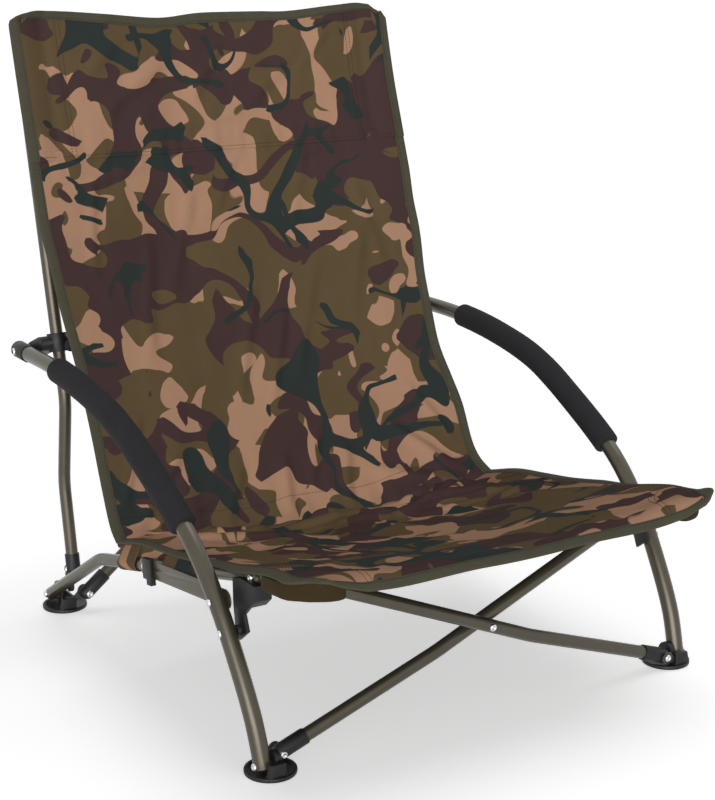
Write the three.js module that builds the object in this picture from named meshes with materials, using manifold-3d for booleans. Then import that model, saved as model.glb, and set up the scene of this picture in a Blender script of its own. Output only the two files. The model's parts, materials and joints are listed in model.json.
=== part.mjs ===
import * as THREE from 'three';
import { mergeVertices } from 'three/addons/utils/BufferGeometryUtils.js';
import Module from 'manifold-3d';

// A low folding fishing chair. +Z is up, the sitter faces -Y, lengths are millimetres.
// It is built from the middle of the four feet. Its origin is then moved below the middle of its length.

// Driving dimensions: the frame. The spans run from the middle of the chair to the middle of a foot.
const footSpanX = 280;
const footSpanY = 280;
const legDiameter = 20;
const frameDiameter = 16;
const seatGap = 0.3;
const cutOverrun = 3;

// Driving dimensions: the leg and arm tube, pinned at the front foot.
const legPinAhead = 4;
const legPin = { y: -footSpanY - legPinAhead, z: 12 };
const armReach = 42;
const armPin = { y: footSpanY + armReach, z: 345 };
const armTail = 10;
const legOutset = 12;
const armOutset = 26.8;
const legTail = 4;
const foamDiameter = 32;
const foamFromY = -112;
const foamToY = 211;
const endCapLength = 33;
const endCapWall = 1;

// Driving dimensions: the seat rail, pinned at the rear foot and at the front corner.
const railPinBehind = 22;
const railRearPin = { y: footSpanY + railPinBehind, z: 13 };
const railBend = { y: 147, z: 109 };
const hubPinBehind = 3;
const railFrontPin = { y: hubPinBehind - footSpanY, z: 217 };
const railRearOutset = 9.7;
const railToeIn = 23;
const railBendRadius = 60;
const railTail = 3;
const railRivetBehind = 29;

// Driving dimensions: the back post, pinned to the rail just above the rear foot.
const postInset = 10;
const postPinAhead = 14;
const postPin = { y: footSpanY - postPinAhead, z: 33 };
const lowBendBehind = 23;
const lowBend = { y: postPin.y + lowBendBehind, z: 170 };
const highBendBehind = 7;
const highBend = { y: postPin.y + highBendBehind, z: 283 };
const postTopZ = 758;
const postLeanShare = 0.234526;
const postTop = { y: highBend.y + postLeanShare * (postTopZ - highBend.z), z: postTopZ };
const postBendRadius = 90;
const collarRise = 13;
const collarZ = armPin.z + collarRise;

// Driving dimensions: the crosses. Each tube has its own upright plane, across the chair.
const frontFootInset = 16;
const frontTopInset = 30;
const frontCross = {
  foot: { x: footSpanX - frontFootInset, z: 15 },
  bend: { x: 60, z: 86 },
  top: { x: footSpanX - frontTopInset, z: railFrontPin.z },
};
const frontLayerAhead = 10.2;
const frontCrossGap = 2.8;
const frontLayers = {
  a: -footSpanY - frontLayerAhead,
  b: frameDiameter + frontCrossGap - footSpanY - frontLayerAhead,
};
const rearFootInset = 21.5;
const rearTopInset = 36;
const rearCross = {
  foot: { x: footSpanX - rearFootInset, z: 23 },
  bend: { x: 150, z: 110.5 },
  top: { x: footSpanX - rearTopInset, z: collarZ },
};
const rearLayerAhead = 24.5;
const rearCrossGap = 6;
const rearLayers = {
  c: footSpanY - rearLayerAhead,
  d: footSpanY - rearLayerAhead + frameDiameter + rearCrossGap,
};
const rearPinTilt = -0.159;
const tiltRoom = 0.6;
const crossTail = 2;
const crossBendRadius = 160;

// Driving dimensions: the feet.
const footDiameter = 58;
const footRimHeight = 4.5;
const footDish = 1.5;
const footRimWidth = 4;
const lugThickness = 7.2;
const lugRadius = 12;
const lugRise = 3;
const ribBlock = { depth: 6, width: 22, height: 19 };
const tabThickness = 1.8;
const tabRadius = 8;
const tabGrip = 3;
const tabBite = 4;

// Driving dimensions: the black end fittings, the brace and the brackets.
const ferruleWall = 1.2;
const ferruleLength = 34;
const postFittingLength = 29;
const postFittingRise = 13;
const tongueThickness = 4.9;
const tongueRadius = 8;
const braceRailPinShare = 0.674528;
const braceLegPinShares = { y: 0.140264, z: 0.480481 };
const bracketPinShares = { y: 0.105611, z: 0.393393 };
const braceHeight = 22;
const braceThickness = 1.6;
const knuckle = { from: 6, hook: 15, to: 27, half: 12.5, drop: 19, cover: 5 };
const bracketPlate = 4;
const bracketBossRadius = 6;
const bracketInset = 21;
const bracketSideGap = 3.3;
const collarRadius = 13;
const collarHeight = 24;
const collarLugRadius = 9.5;
const crossPlateThickness = 2.4;
const crossNeck = 5.5;

// Driving dimensions: the front corner hubs and their cloth pockets.
const hubCheek = 3.5;
const hubCheekRadius = 9.5;
const hubPlate = 3;
const hubBlockBack = 10;
const hubHalfHeight = 8;
const pocketWall = 2;
const pocketBack = 15;
const pocketFront = 87;
const pocketInset = 12;
const pocketDrop = 19;
const pocketRise = 0.22;
const pocketUnder = 5;

// Driving dimensions: the cloth.
const clothThickness = 3;
const seatBow = 1.3;
const clothHalfWidth = footSpanX;
const seatOverhang = 89;
const seatFrontRise = 25;
const seatFront = { y: railFrontPin.y - seatOverhang, z: railFrontPin.z + seatFrontRise };
const seatTaper = 20;
const hingeAhead = 54;
const hingeRise = 38;
const seatHinge = { y: railBend.y - hingeAhead, z: railBend.z + hingeRise };
const seatSag = 24;
const seatFrontSag = 19;
const cornerLift = 7;
const backTopRise = 6;
const backTopZ = postTop.z + backTopRise;
const backSag = 22;
const sleeveRadius = 12.5;
const sleeveWall = 1.5;
const sleeveLength = 174;
const slingGap = 0.25;
const clothFoldDepth = 5;
const seatFolds = 3;

// Driving dimensions: the pins and rivets.
const pinRadius = 2.6;
const rivetRadius = 4.3;
const rivetHeight = 2;
const spacerRadius = 5.5;
const postPinShare = 0.85;
const fittingRivetShares = { out: 0.87, back: 0.5, up: 0.3 };
const capCrown = 6;
const capShares = [[0, 1], [0.55, 0.85], [0.86, 0.45], [1, 0]];
const ribTaper = 4;

// How round the facets are.
const tubeSides = 16;
const smallSides = 14;
const pinSides = 8;
const padSides = 22;
const domeSteps = 4;
const arcDegrees = 9;
const halvings = 30;
const seatAcrossSteps = 20;
const seatAlongSteps = 13;
const backAcrossSteps = 18;
const backAlongSteps = 18;

// Colours.
const paint = { color: 0x5b5447, roughness: 0.35, metalness: 0.6 };
const darkPaint = { color: 0x3a362e, roughness: 0.4, metalness: 0.5 };
const plastic = { color: 0x17171a, roughness: 0.5, metalness: 0 };
const foam = { color: 0x2b2a2c, roughness: 0.95, metalness: 0 };
const zinc = { color: 0xc9ccd0, roughness: 0.25, metalness: 0.9 };
const cloth = { color: 0x5b4a33, roughness: 0.9, metalness: 0 };
const pocketCloth = { color: 0x46402d, roughness: 0.9, metalness: 0 };

const wasm = await Module();
wasm.setup();

const chair = new THREE.Group();
const legRadius = legDiameter / 2;
const frameRadius = frameDiameter / 2;
const sides = [{ name: 'right', sign: -1 }, { name: 'left', sign: 1 }];

const vec = (x, y, z) => new THREE.Vector3(x, y, z);
const lerp = (a, b, share) => a + (b - a) * share;

// Adds one named piece in the chair's own coordinates.
function addPiece(name, geometry, look) {
  const mesh = new THREE.Mesh(geometry, new THREE.MeshStandardMaterial(look));
  mesh.name = name;
  chair.add(mesh);
}

// Keeps only the positions, merged, and turns the faces outward.
function closed(geometry) {
  const bare = new THREE.BufferGeometry();
  bare.setAttribute('position', geometry.getAttribute('position').clone());
  if (geometry.index) bare.setIndex(geometry.index.clone());
  const merged = mergeVertices(bare, 1e-4);
  const points = merged.getAttribute('position');
  const order = merged.index.array;
  const corner = [vec(0, 0, 0), vec(0, 0, 0), vec(0, 0, 0)];
  let volume = 0;
  for (let i = 0; i < order.length; i += 3) {
    corner.forEach((c, k) => c.fromBufferAttribute(points, order[i + k]));
    volume += corner[0].dot(corner[1].clone().cross(corner[2]));
  }
  if (volume < 0) {
    for (let i = 0; i < order.length; i += 3) {
      const first = order[i];
      order[i] = order[i + 1];
      order[i + 1] = first;
    }
  }
  return merged;
}

function toSolid(geometry) {
  const mesh = closed(geometry);
  return new wasm.Manifold(new wasm.Mesh({
    numProp: 3,
    vertProperties: new Float32Array(mesh.getAttribute('position').array),
    triVerts: new Uint32Array(mesh.index.array),
  }));
}

function fromSolid(solid) {
  const mesh = solid.getMesh();
  const geometry = new THREE.BufferGeometry();
  geometry.setAttribute('position', new THREE.BufferAttribute(mesh.vertProperties, mesh.numProp));
  geometry.setIndex(new THREE.BufferAttribute(mesh.triVerts, 1));
  return geometry;
}

const join = (...pieces) => pieces.map(toSolid).reduce((a, b) => a.add(b));
const cut = (solid, ...tools) => tools.map(toSolid).reduce((a, b) => a.subtract(b), solid);

// A route through chosen stations, so that rings stand where a bend needs them.
class Route extends THREE.Curve {
  constructor(stations) {
    super();
    this.stations = stations;
  }
  at(u) {
    return this.stations[Math.round(u * (this.stations.length - 1))];
  }
  getPoint(u) {
    return this.at(u).point.clone();
  }
  getPointAt(u) {
    return this.at(u).point.clone();
  }
  getTangentAt(u) {
    return this.at(u).tangent.clone();
  }
}

// Straight runs between corners, with a round bend at each inner corner.
function bentStations(corners, bendRadius) {
  const stations = [];
  const direction = (a, b) => b.clone().sub(a).normalize();
  stations.push({ point: corners[0].clone(), tangent: direction(corners[0], corners[1]) });
  for (let i = 1; i < corners.length - 1; i += 1) {
    const before = direction(corners[i - 1], corners[i]);
    const after = direction(corners[i], corners[i + 1]);
    const turn = before.angleTo(after);
    const reach = bendRadius * Math.tan(turn / 2);
    const steps = Math.max(1, Math.ceil(THREE.MathUtils.radToDeg(turn) / arcDegrees));
    const start = corners[i].clone().addScaledVector(before, -reach);
    const inward = after.clone().addScaledVector(before, -after.dot(before)).normalize();
    for (let k = 0; k <= steps; k += 1) {
      const angle = turn * k / steps;
      const along = bendRadius * Math.sin(angle);
      const side = bendRadius * (1 - Math.cos(angle));
      stations.push({
        point: start.clone().addScaledVector(before, along).addScaledVector(inward, side),
        tangent: before.clone().multiplyScalar(Math.cos(angle)).addScaledVector(inward, Math.sin(angle)),
      });
    }
  }
  const last = corners.length - 1;
  stations.push({ point: corners[last].clone(), tangent: direction(corners[last - 1], corners[last]) });
  return stations;
}

function circle(radius, count) {
  const shape = new THREE.Shape();
  for (let i = 0; i < count; i += 1) {
    const angle = 2 * Math.PI * i / count;
    const x = radius * Math.cos(angle);
    const y = radius * Math.sin(angle);
    if (i === 0) shape.moveTo(x, y);
    else shape.lineTo(x, y);
  }
  shape.closePath();
  return shape;
}

// A round bar or tube along stations. A bore makes it a sleeve.
function tube(stations, radius, bore = 0, count = tubeSides) {
  const shape = circle(radius, count);
  if (bore > 0) shape.holes.push(circle(bore, count));
  return new THREE.ExtrudeGeometry(shape, { extrudePath: new Route(stations), steps: stations.length - 1 });
}

const rod = (from, to, radius, count = smallSides) => tube(
  [from, to].map((point) => ({ point, tangent: to.clone().sub(from).normalize() })), radius, 0, count);

// A profile of [radius, height] pairs turned about a line that starts at a point.
function turned(profile, start, direction, count = smallSides) {
  const geometry = new THREE.LatheGeometry(profile.map(([r, h]) => new THREE.Vector2(r, h)), count);
  const turn = new THREE.Quaternion().setFromUnitVectors(vec(0, 1, 0), direction.clone().normalize());
  geometry.applyQuaternion(turn);
  geometry.translate(start.x, start.y, start.z);
  return geometry;
}

// A flat plate cut to an outline. The outline lies in the YZ plane, and the plate spans x0 to x1.
function plateAcrossX(shape, x0, x1, curveSegments = 8) {
  const depth = Math.abs(x1 - x0);
  const geometry = new THREE.ExtrudeGeometry(shape, { depth, bevelEnabled: false, curveSegments });
  geometry.applyMatrix4(new THREE.Matrix4().makeBasis(vec(0, 1, 0), vec(0, 0, 1), vec(1, 0, 0)));
  geometry.translate(Math.min(x0, x1), 0, 0);
  return geometry;
}

// The same for an outline in the XZ plane. The plate spans y0 to y1.
function plateAcrossY(shape, y0, y1, curveSegments = 8) {
  const depth = Math.abs(y1 - y0);
  const geometry = new THREE.ExtrudeGeometry(shape, { depth, bevelEnabled: false, curveSegments });
  geometry.applyMatrix4(new THREE.Matrix4().makeBasis(vec(1, 0, 0), vec(0, 0, 1), vec(0, -1, 0)));
  geometry.translate(0, Math.max(y0, y1), 0);
  return geometry;
}

function box(x0, x1, y0, y1, z0, z1) {
  const geometry = new THREE.BoxGeometry(Math.abs(x1 - x0), Math.abs(y1 - y0), Math.abs(z1 - z0));
  geometry.translate((x0 + x1) / 2, (y0 + y1) / 2, (z0 + z1) / 2);
  return geometry;
}

function outline(points) {
  const shape = new THREE.Shape();
  points.forEach(([a, b], i) => (i === 0 ? shape.moveTo(a, b) : shape.lineTo(a, b)));
  shape.closePath();
  return shape;
}

// An outline of two round ends joined by straight sides.
function slot(from, to, radius) {
  const angle = Math.atan2(to[1] - from[1], to[0] - from[0]);
  const shape = new THREE.Shape();
  shape.absarc(to[0], to[1], radius, angle - Math.PI / 2, angle + Math.PI / 2);
  shape.absarc(from[0], from[1], radius, angle + Math.PI / 2, angle + 3 * Math.PI / 2);
  shape.closePath();
  return shape;
}

// The points of a pin's head, as shares of its radius and its height. It has a shallow dimple.
const headShares = [[0, 0.55], [0.35, 0.55], [0.5, 1], [0.8, 0.85], [1, 0.35]];
const headProfile = () => headShares.map(([r, h]) => [r * rivetRadius, -h * rivetHeight - seatGap]);

// A pin with its head just off a surface and its shank through what lies behind it.
function pin(start, inward, length, spacer = null) {
  const profile = [...headProfile(), [rivetRadius, -seatGap], [pinRadius, -seatGap]];
  if (spacer) {
    profile.push([pinRadius, spacer[0]], [spacerRadius, spacer[0]], [spacerRadius, spacer[1]]);
    profile.push([pinRadius, spacer[1]]);
  }
  profile.push([pinRadius, length], [0, length]);
  return turned(profile, start, inward, pinSides);
}

// The clear hole that a pin needs.
const pinHole = (start, inward, length) => rod(start.clone().addScaledVector(inward, -cutOverrun),
  start.clone().addScaledVector(inward, length), pinRadius + seatGap, pinSides);

// A rivet whose head is one with the tube that carries it.
const fixedHead = (start, inward) => turned([...headProfile(), [rivetRadius, -seatGap], [pinRadius, -seatGap],
  [pinRadius, rivetHeight], [0, rivetHeight]], start, inward, pinSides);

// A socket over a tube end, with a domed tip round its pin.
function ferrule(point, direction) {
  const bore = frameRadius + seatGap;
  const outer = bore + ferruleWall;
  const profile = [[0, -outer]];
  for (let i = 1; i < domeSteps; i += 1) {
    const angle = Math.PI / 2 * i / domeSteps;
    profile.push([outer * Math.sin(angle), -outer * Math.cos(angle)]);
  }
  profile.push([outer, 0], [outer, ferruleLength], [bore, ferruleLength], [bore, outer], [0, outer]);
  return turned(profile, point, direction, tubeSides);
}

const ferruleRadius = frameRadius + seatGap + ferruleWall;

// How far out the leg stands at a height, and the rail at a distance from the front.
const legXAt = (z) => footSpanX + lerp(legOutset, armOutset, (z - legPin.z) / (armPin.z - legPin.z));
const railXAt = (y) => {
  const share = (railRearPin.y - y) / (railRearPin.y - railFrontPin.y);
  return footSpanX + railRearOutset - railToeIn * share;
};
const railZAt = (y) => (y > railBend.y
  ? lerp(railBend.z, railRearPin.z, (y - railBend.y) / (railRearPin.y - railBend.y))
  : lerp(railFrontPin.z, railBend.z, (y - railFrontPin.y) / (railBend.y - railFrontPin.y)));
const railPoint = (sign, y) => vec(sign * railXAt(y), y, railZAt(y));

// The brace and the bracket are pinned through the middle of the rail and of the leg.
const onLeg = (shares) => ({ y: lerp(legPin.y, armPin.y, shares.y), z: lerp(legPin.z, armPin.z, shares.z) });
const braceRailPin = {
  y: lerp(railFrontPin.y, railBend.y, braceRailPinShare),
  z: lerp(railFrontPin.z, railBend.z, braceRailPinShare),
};
const braceLegPin = onLeg(braceLegPinShares);
const bracketPin = onLeg(bracketPinShares);
const cheekInner = railXAt(railFrontPin.y + hubCheekRadius) + frameRadius + seatGap;
const cheekOuter = cheekInner + hubCheek;

const postX = footSpanX - postInset;
const postFoot = new THREE.Vector2(lowBend.y - postPin.y, lowBend.z - postPin.z).normalize();
const postLean = new THREE.Vector2(postTop.y - highBend.y, postTop.z - highBend.z).normalize();
const postPoint = (sign, z) => vec(sign * postX, highBend.y + (z - highBend.z) * postLean.x / postLean.y, z);

// The leg's side view, as shares of the way from the foot pin to the arm's pin.
const legRouteShares = [
  [0, 0], [0.0248, 0.141], [0.0776, 0.315], [0.142, 0.4835], [0.231, 0.643],
  [0.386, 0.808], [0.518, 0.916], [0.663, 0.973], [0.817, 1], [1, 1],
];

function legCurve(sign) {
  const points = legRouteShares.map(([a, b]) => {
    const z = lerp(legPin.z, armPin.z, b);
    return vec(sign * legXAt(z), lerp(legPin.y, armPin.y, a), z);
  });
  const down = points[1].clone().sub(points[0]).normalize();
  points.unshift(points[0].clone().addScaledVector(down, -legTail));
  points.push(points[points.length - 1].clone().add(vec(0, armTail, 0)));
  return new THREE.CatmullRomCurve3(points, false, 'centripetal');
}

// The share of a curve's length at which it reaches a distance from the front.
function shareAtY(curve, y) {
  let low = 0;
  let high = 1;
  for (let i = 0; i < halvings; i += 1) {
    const middle = (low + high) / 2;
    if (curve.getPointAt(middle).y < y) low = middle;
    else high = middle;
  }
  return low;
}

function curveStations(curve, from, to, steps) {
  return Array.from({ length: steps + 1 }, (unused, i) => {
    const u = lerp(from, to, i / steps);
    return { point: curve.getPointAt(u), tangent: curve.getTangentAt(u) };
  });
}

// The leg and arm, its foam grip and its end cap.
function buildLeg({ name, sign }) {
  const curve = legCurve(sign);
  const foamStart = shareAtY(curve, foamFromY);
  const foamEnd = shareAtY(curve, foamToY);
  const lower = curveStations(curve, 0, foamStart, 8);
  const middle = curveStations(curve, foamStart, foamEnd, 8);
  const upper = curveStations(curve, foamEnd, 1, 2);
  const all = [...lower.slice(0, -1), ...middle, ...upper.slice(1)];
  const inward = vec(-sign, 0, 0);
  const holes = [legPin, bracketPin].map(({ y, z }) => pinHole(
    vec(sign * (legXAt(z) + legRadius), y, z), inward, legDiameter + cutOverrun));
  const head = fixedHead(vec(sign * (legXAt(braceLegPin.z) + legRadius), braceLegPin.y, braceLegPin.z), inward);
  addPiece(`leg_arm_${name}`, fromSolid(cut(join(tube(all, legRadius), head), ...holes)), paint);
  addPiece(`arm_foam_${name}`, closed(tube(middle, foamDiameter / 2, legRadius + seatGap)), foam);

  const tip = all[all.length - 1];
  const bore = legRadius + seatGap;
  const outer = bore + endCapWall;
  const back = tip.tangent.clone().negate();
  const profile = capShares.map(([r, h]) => [r * outer, -seatGap - h * capCrown]);
  profile.push([outer, endCapLength], [bore, endCapLength], [bore, -seatGap], [0, -seatGap]);
  const cap = turned(profile, tip.point, back, tubeSides);
  const capHead = fixedHead(vec(sign * (legXAt(armPin.z) + outer), armPin.y, armPin.z), inward);
  const bite = tube(all, bore);
  addPiece(`arm_end_cap_${name}`, fromSolid(cut(join(cap, capHead), bite)), plastic);
}

// The seat rail, with the one rivet that shows on its bare front part.
function buildRail({ name, sign }) {
  const corners = [railRearPin.y, railBend.y, railFrontPin.y].map((y) => railPoint(sign, y));
  corners[0].addScaledVector(corners[1].clone().sub(corners[0]).normalize(), -railTail);
  corners[2].addScaledVector(corners[1].clone().sub(corners[2]).normalize(), -railTail);
  const inward = vec(-sign, 0, 0);
  const through = frameDiameter + cutOverrun;
  const holes = [railRearPin, braceRailPin, railFrontPin].map(({ y, z }) => pinHole(
    vec(sign * (railXAt(y) + frameRadius), y, z), inward, through));
  holes.push(pinHole(vec(sign * (railXAt(postPin.y) - frameRadius), postPin.y, postPin.z),
    vec(sign, 0, 0), frameDiameter * postPinShare + seatGap));
  const head = fixedHead(railPoint(sign, railFrontPin.y + railRivetBehind).add(vec(sign * frameRadius, 0, 0)), inward);
  const body = join(tube(bentStations(corners, railBendRadius), frameRadius), head);
  addPiece(`seat_rail_${name}`, fromSolid(cut(body, ...holes)), paint);
}

// The back post and the fitting that pins it to the rail.
function buildPost({ name, sign }) {
  const up = vec(0, postFoot.x, postFoot.y);
  const low = vec(sign * postX, postPin.y, postPin.z);
  const socketStart = low.clone().addScaledVector(up, postFittingRise);
  const corners = [socketStart.clone().addScaledVector(up, seatGap),
    ...[lowBend, highBend, postTop].map(({ y, z }) => vec(sign * postX, y, z))];
  addPiece(`back_post_${name}`, closed(tube(bentStations(corners, postBendRadius), frameRadius)), paint);

  const socketEnd = socketStart.clone().addScaledVector(up, postFittingLength);
  const socket = rod(socketStart.clone().addScaledVector(up, -tongueThickness), socketEnd, ferruleRadius, tubeSides);
  const outerFace = railXAt(postPin.y - postFittingRise) - frameRadius - seatGap;
  const innerFace = outerFace - tongueThickness;
  const tongue = plateAcrossX(slot([postPin.y, postPin.z], [socketStart.y, socketStart.z], tongueRadius),
    sign * outerFace, sign * innerFace);
  const bite = rod(socketStart, socketEnd.clone().addScaledVector(up, cutOverrun), frameRadius + seatGap, tubeSides);
  const outAndBack = vec(sign * fittingRivetShares.out, fittingRivetShares.back, 0).normalize();
  const head = fixedHead(socketStart.clone().addScaledVector(up, postFittingLength * fittingRivetShares.up)
    .addScaledVector(outAndBack, ferruleRadius), outAndBack.clone().negate());
  const start = vec(sign * innerFace, postPin.y, postPin.z);
  const outward = vec(sign, 0, 0);
  const reach = tongueThickness + seatGap + frameDiameter * postPinShare;
  const body = cut(join(socket, tongue), bite, pinHole(start, outward, reach)).add(toSolid(head))
    .subtract(toSolid(bite));
  addPiece(`post_foot_fitting_${name}`, fromSolid(body), plastic);
  addPiece(`post_pin_${name}`, closed(pin(start, outward, reach)), zinc);
}

// The collar that slides up the post. One lug holds the arm's end and one plate holds the rear cross.
function buildCollar({ name, sign }) {
  const along = vec(0, postLean.x, postLean.y);
  const middle = postPoint(sign, collarZ);
  const low = middle.clone().addScaledVector(along, -collarHeight / 2);
  const high = middle.clone().addScaledVector(along, collarHeight / 2);
  const armFace = legXAt(armPin.z) - legRadius - endCapWall - 2 * seatGap;
  const armLug = plateAcrossX(slot([middle.y, middle.z], [armPin.y, armPin.z], collarLugRadius),
    sign * armFace, sign * (postX + frameRadius / 2));
  const { x, z } = rearCross.top;
  const plateMiddle = (rearLayers.c + rearLayers.d) / 2;
  const front = plateMiddle - crossPlateThickness / 2;
  const back = plateMiddle + crossPlateThickness / 2;
  const neckTo = postX - collarRadius + crossNeck;
  const plate = plateAcrossY(slot([sign * x, z], [sign * neckTo, z], tabRadius), front, back);
  const neck = box(sign * (neckTo - crossNeck), sign * neckTo, front, middle.y - collarRadius / 2,
    z - tabRadius, z + tabRadius);
  const bore = rod(low.clone().addScaledVector(along, -collarHeight),
    high.clone().addScaledVector(along, collarHeight), frameRadius + seatGap, tubeSides);
  const head = sign < 0 ? fixedHead(vec(sign * x, front, z), vec(0, 1, 0))
    : fixedHead(vec(sign * x, back, z), vec(0, -1, 0));
  const body = join(rod(low, high, collarRadius, tubeSides), armLug, plate, neck, head);
  addPiece(`post_collar_${name}`, fromSolid(cut(body, bore)), plastic);
}

// The flat brace from the rail to the leg, its pin and its black stop block.
function buildBrace({ name, sign }) {
  const outerX = legXAt(braceLegPin.z - braceHeight / 2) - legRadius - seatGap;
  const innerX = outerX - braceThickness;
  const railPinPoint = [braceRailPin.y, braceRailPin.z];
  const legPinPoint = [braceLegPin.y, braceLegPin.z];
  const inward = vec(-sign, 0, 0);
  const start = vec(sign * outerX, braceRailPin.y, braceRailPin.z);
  const reach = outerX - railXAt(braceRailPin.y) + frameRadius;
  const bar = plateAcrossX(slot(railPinPoint, legPinPoint, braceHeight / 2), sign * innerX, sign * outerX);
  addPiece(`brace_bar_${name}`, fromSolid(cut(toSolid(bar), pinHole(start, inward, braceThickness + cutOverrun))),
    darkPaint);
  addPiece(`brace_pin_${name}`, closed(pin(start, inward, reach)), zinc);

  const angle = Math.atan2(braceLegPin.z - braceRailPin.z, braceLegPin.y - braceRailPin.y);
  const place = (ahead, above) => [
    braceRailPin.y + Math.cos(angle) * ahead + Math.sin(angle) * above,
    braceRailPin.z + Math.sin(angle) * ahead - Math.cos(angle) * above,
  ];
  const block = plateAcrossX(outline([place(knuckle.from, -knuckle.half), place(knuckle.hook, -knuckle.half),
    place(knuckle.hook, -knuckle.drop), place(knuckle.to, -knuckle.drop), place(knuckle.to, knuckle.half),
    place(knuckle.from, knuckle.half)]), sign * (railXAt(braceRailPin.y) + frameRadius + seatGap),
  sign * (outerX + knuckle.cover));
  const room = plateAcrossX(slot(railPinPoint, legPinPoint, braceHeight / 2 + seatGap),
    sign * (innerX - cutOverrun), sign * (outerX + seatGap));
  const headRoom = rod(start.clone().addScaledVector(inward, cutOverrun),
    start.clone().addScaledVector(inward, -knuckle.cover - cutOverrun), rivetRadius + seatGap, pinSides);
  addPiece(`brace_stop_${name}`, fromSolid(cut(toSolid(block), room, headRoom)), plastic);
}

// The bracket's side view, as shares of the way from its rivet to the brace's pin on the leg.
const bracketShares = [[-1.05, 2.1], [-1.7, 2.1], [-1.7, 1.55], [-0.5, 0.72], [-0.85, 0.1], [0.1, -0.45],
  [0.45, 0.1], [0.62, 0.9], [0.66, 2.1]];
const saddleShares = [[-1.7, 1.5], [-1.1, 1.12], [0.62, 0.95], [0.66, 2.1], [-1.7, 2.1]];
function buildBracket({ name, sign }) {
  const at = ([a, b]) => [
    bracketPin.y + (braceLegPin.y - bracketPin.y) * a,
    bracketPin.z + (braceLegPin.z - bracketPin.z) * b,
  ];
  const braceInner = legXAt(braceLegPin.z - braceHeight / 2) - legRadius - seatGap - braceThickness;
  const outerFace = braceInner - bracketSideGap;
  const plate = plateAcrossX(outline(bracketShares.map(at)), sign * outerFace, sign * (outerFace - bracketPlate));
  const saddle = plateAcrossX(outline(saddleShares.map(at)), sign * outerFace, sign * (outerFace - bracketInset));
  const inward = vec(-sign, 0, 0);
  const start = vec(sign * (legXAt(bracketPin.z) + legRadius), bracketPin.y, bracketPin.z);
  const legFace = legXAt(bracketPin.z) - legRadius - seatGap;
  const boss = rod(vec(sign * legFace, bracketPin.y, bracketPin.z),
    vec(sign * (outerFace - bracketPlate / 2), bracketPin.y, bracketPin.z), bracketBossRadius);
  const rear = railPoint(sign, railBend.y);
  const front = railPoint(sign, railFrontPin.y);
  const sky = plateAcrossX(outline([[rear.y, rear.z], [front.y, front.z], [front.y, front.z + footSpanY],
    [rear.y, rear.z + footSpanY]]), sign * footSpanX * 2, 0);
  const railRoom = rod(rear, front, frameRadius + seatGap, tubeSides);
  const reach = legDiameter + legFace - outerFace + bracketPlate;
  addPiece(`rail_bracket_${name}`, fromSolid(cut(join(plate, saddle, boss), railRoom, sky,
    pinHole(start, inward, reach))), plastic);
  addPiece(`bracket_pin_${name}`, closed(pin(start, inward, reach)), zinc);
}

// A steel tab from a cross tube's pin into the foot that holds it.
function footTab(sign, point, y0, y1, biteX) {
  const low = footRimHeight + tabGrip;
  const high = ribBlock.height - tabGrip;
  const neckX = biteX - tabBite - seatGap;
  const body = plateAcrossY(outline([[sign * point.x, point.z + tabRadius], [sign * point.x, point.z - tabRadius],
    [sign * neckX, low], [sign * biteX, low], [sign * biteX, high], [sign * neckX, high]]), y0, y1);
  const eye = plateAcrossY(slot([sign * point.x, point.z], [sign * (point.x + seatGap), point.z], tabRadius), y0, y1);
  return join(body, eye);
}

const mirrorBox = (sign, [x0, x1, y0, y1, z0, z1]) => box(sign * x0, sign * x1, y0, y1, z0, z1);

// A stiffening block with a narrower top, across the chair.
function ribAcross(sign, x0, x1, y0, y1, z1) {
  const z0 = footRimHeight / 2;
  const taper = ribTaper;
  return plateAcrossY(outline([[sign * x0, z0], [sign * x1, z0], [sign * (x1 - taper), z1], [sign * x0, z1]]), y0, y1);
}

// One foot: a round dished pad, a lug beside the tube that is pinned to it, and its ribs.
function footBody(sign, y, lugPin, innerFace, ribs) {
  const radius = footDiameter / 2;
  const dishZ = footRimHeight - footDish;
  const edge = footDish / 2;
  const pad = turned([[0, 0], [radius - edge, 0], [radius, edge], [radius, footRimHeight - edge],
    [radius - edge, footRimHeight], [radius - footRimWidth, footRimHeight],
    [radius - footRimWidth - footDish, dishZ], [0, dishZ]], vec(sign * footSpanX, y, 0), vec(0, 0, 1), padSides);
  const lugShape = new THREE.Shape();
  lugShape.moveTo(lugPin.y + lugRadius, dishZ / 2);
  lugShape.absarc(lugPin.y, lugPin.z + lugRise, lugRadius, 0, Math.PI);
  lugShape.lineTo(lugPin.y - lugRadius, dishZ / 2);
  lugShape.closePath();
  const lug = plateAcrossX(lugShape, sign * innerFace, sign * (innerFace - lugThickness));
  return join(pad, lug, ...ribs);
}

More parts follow.
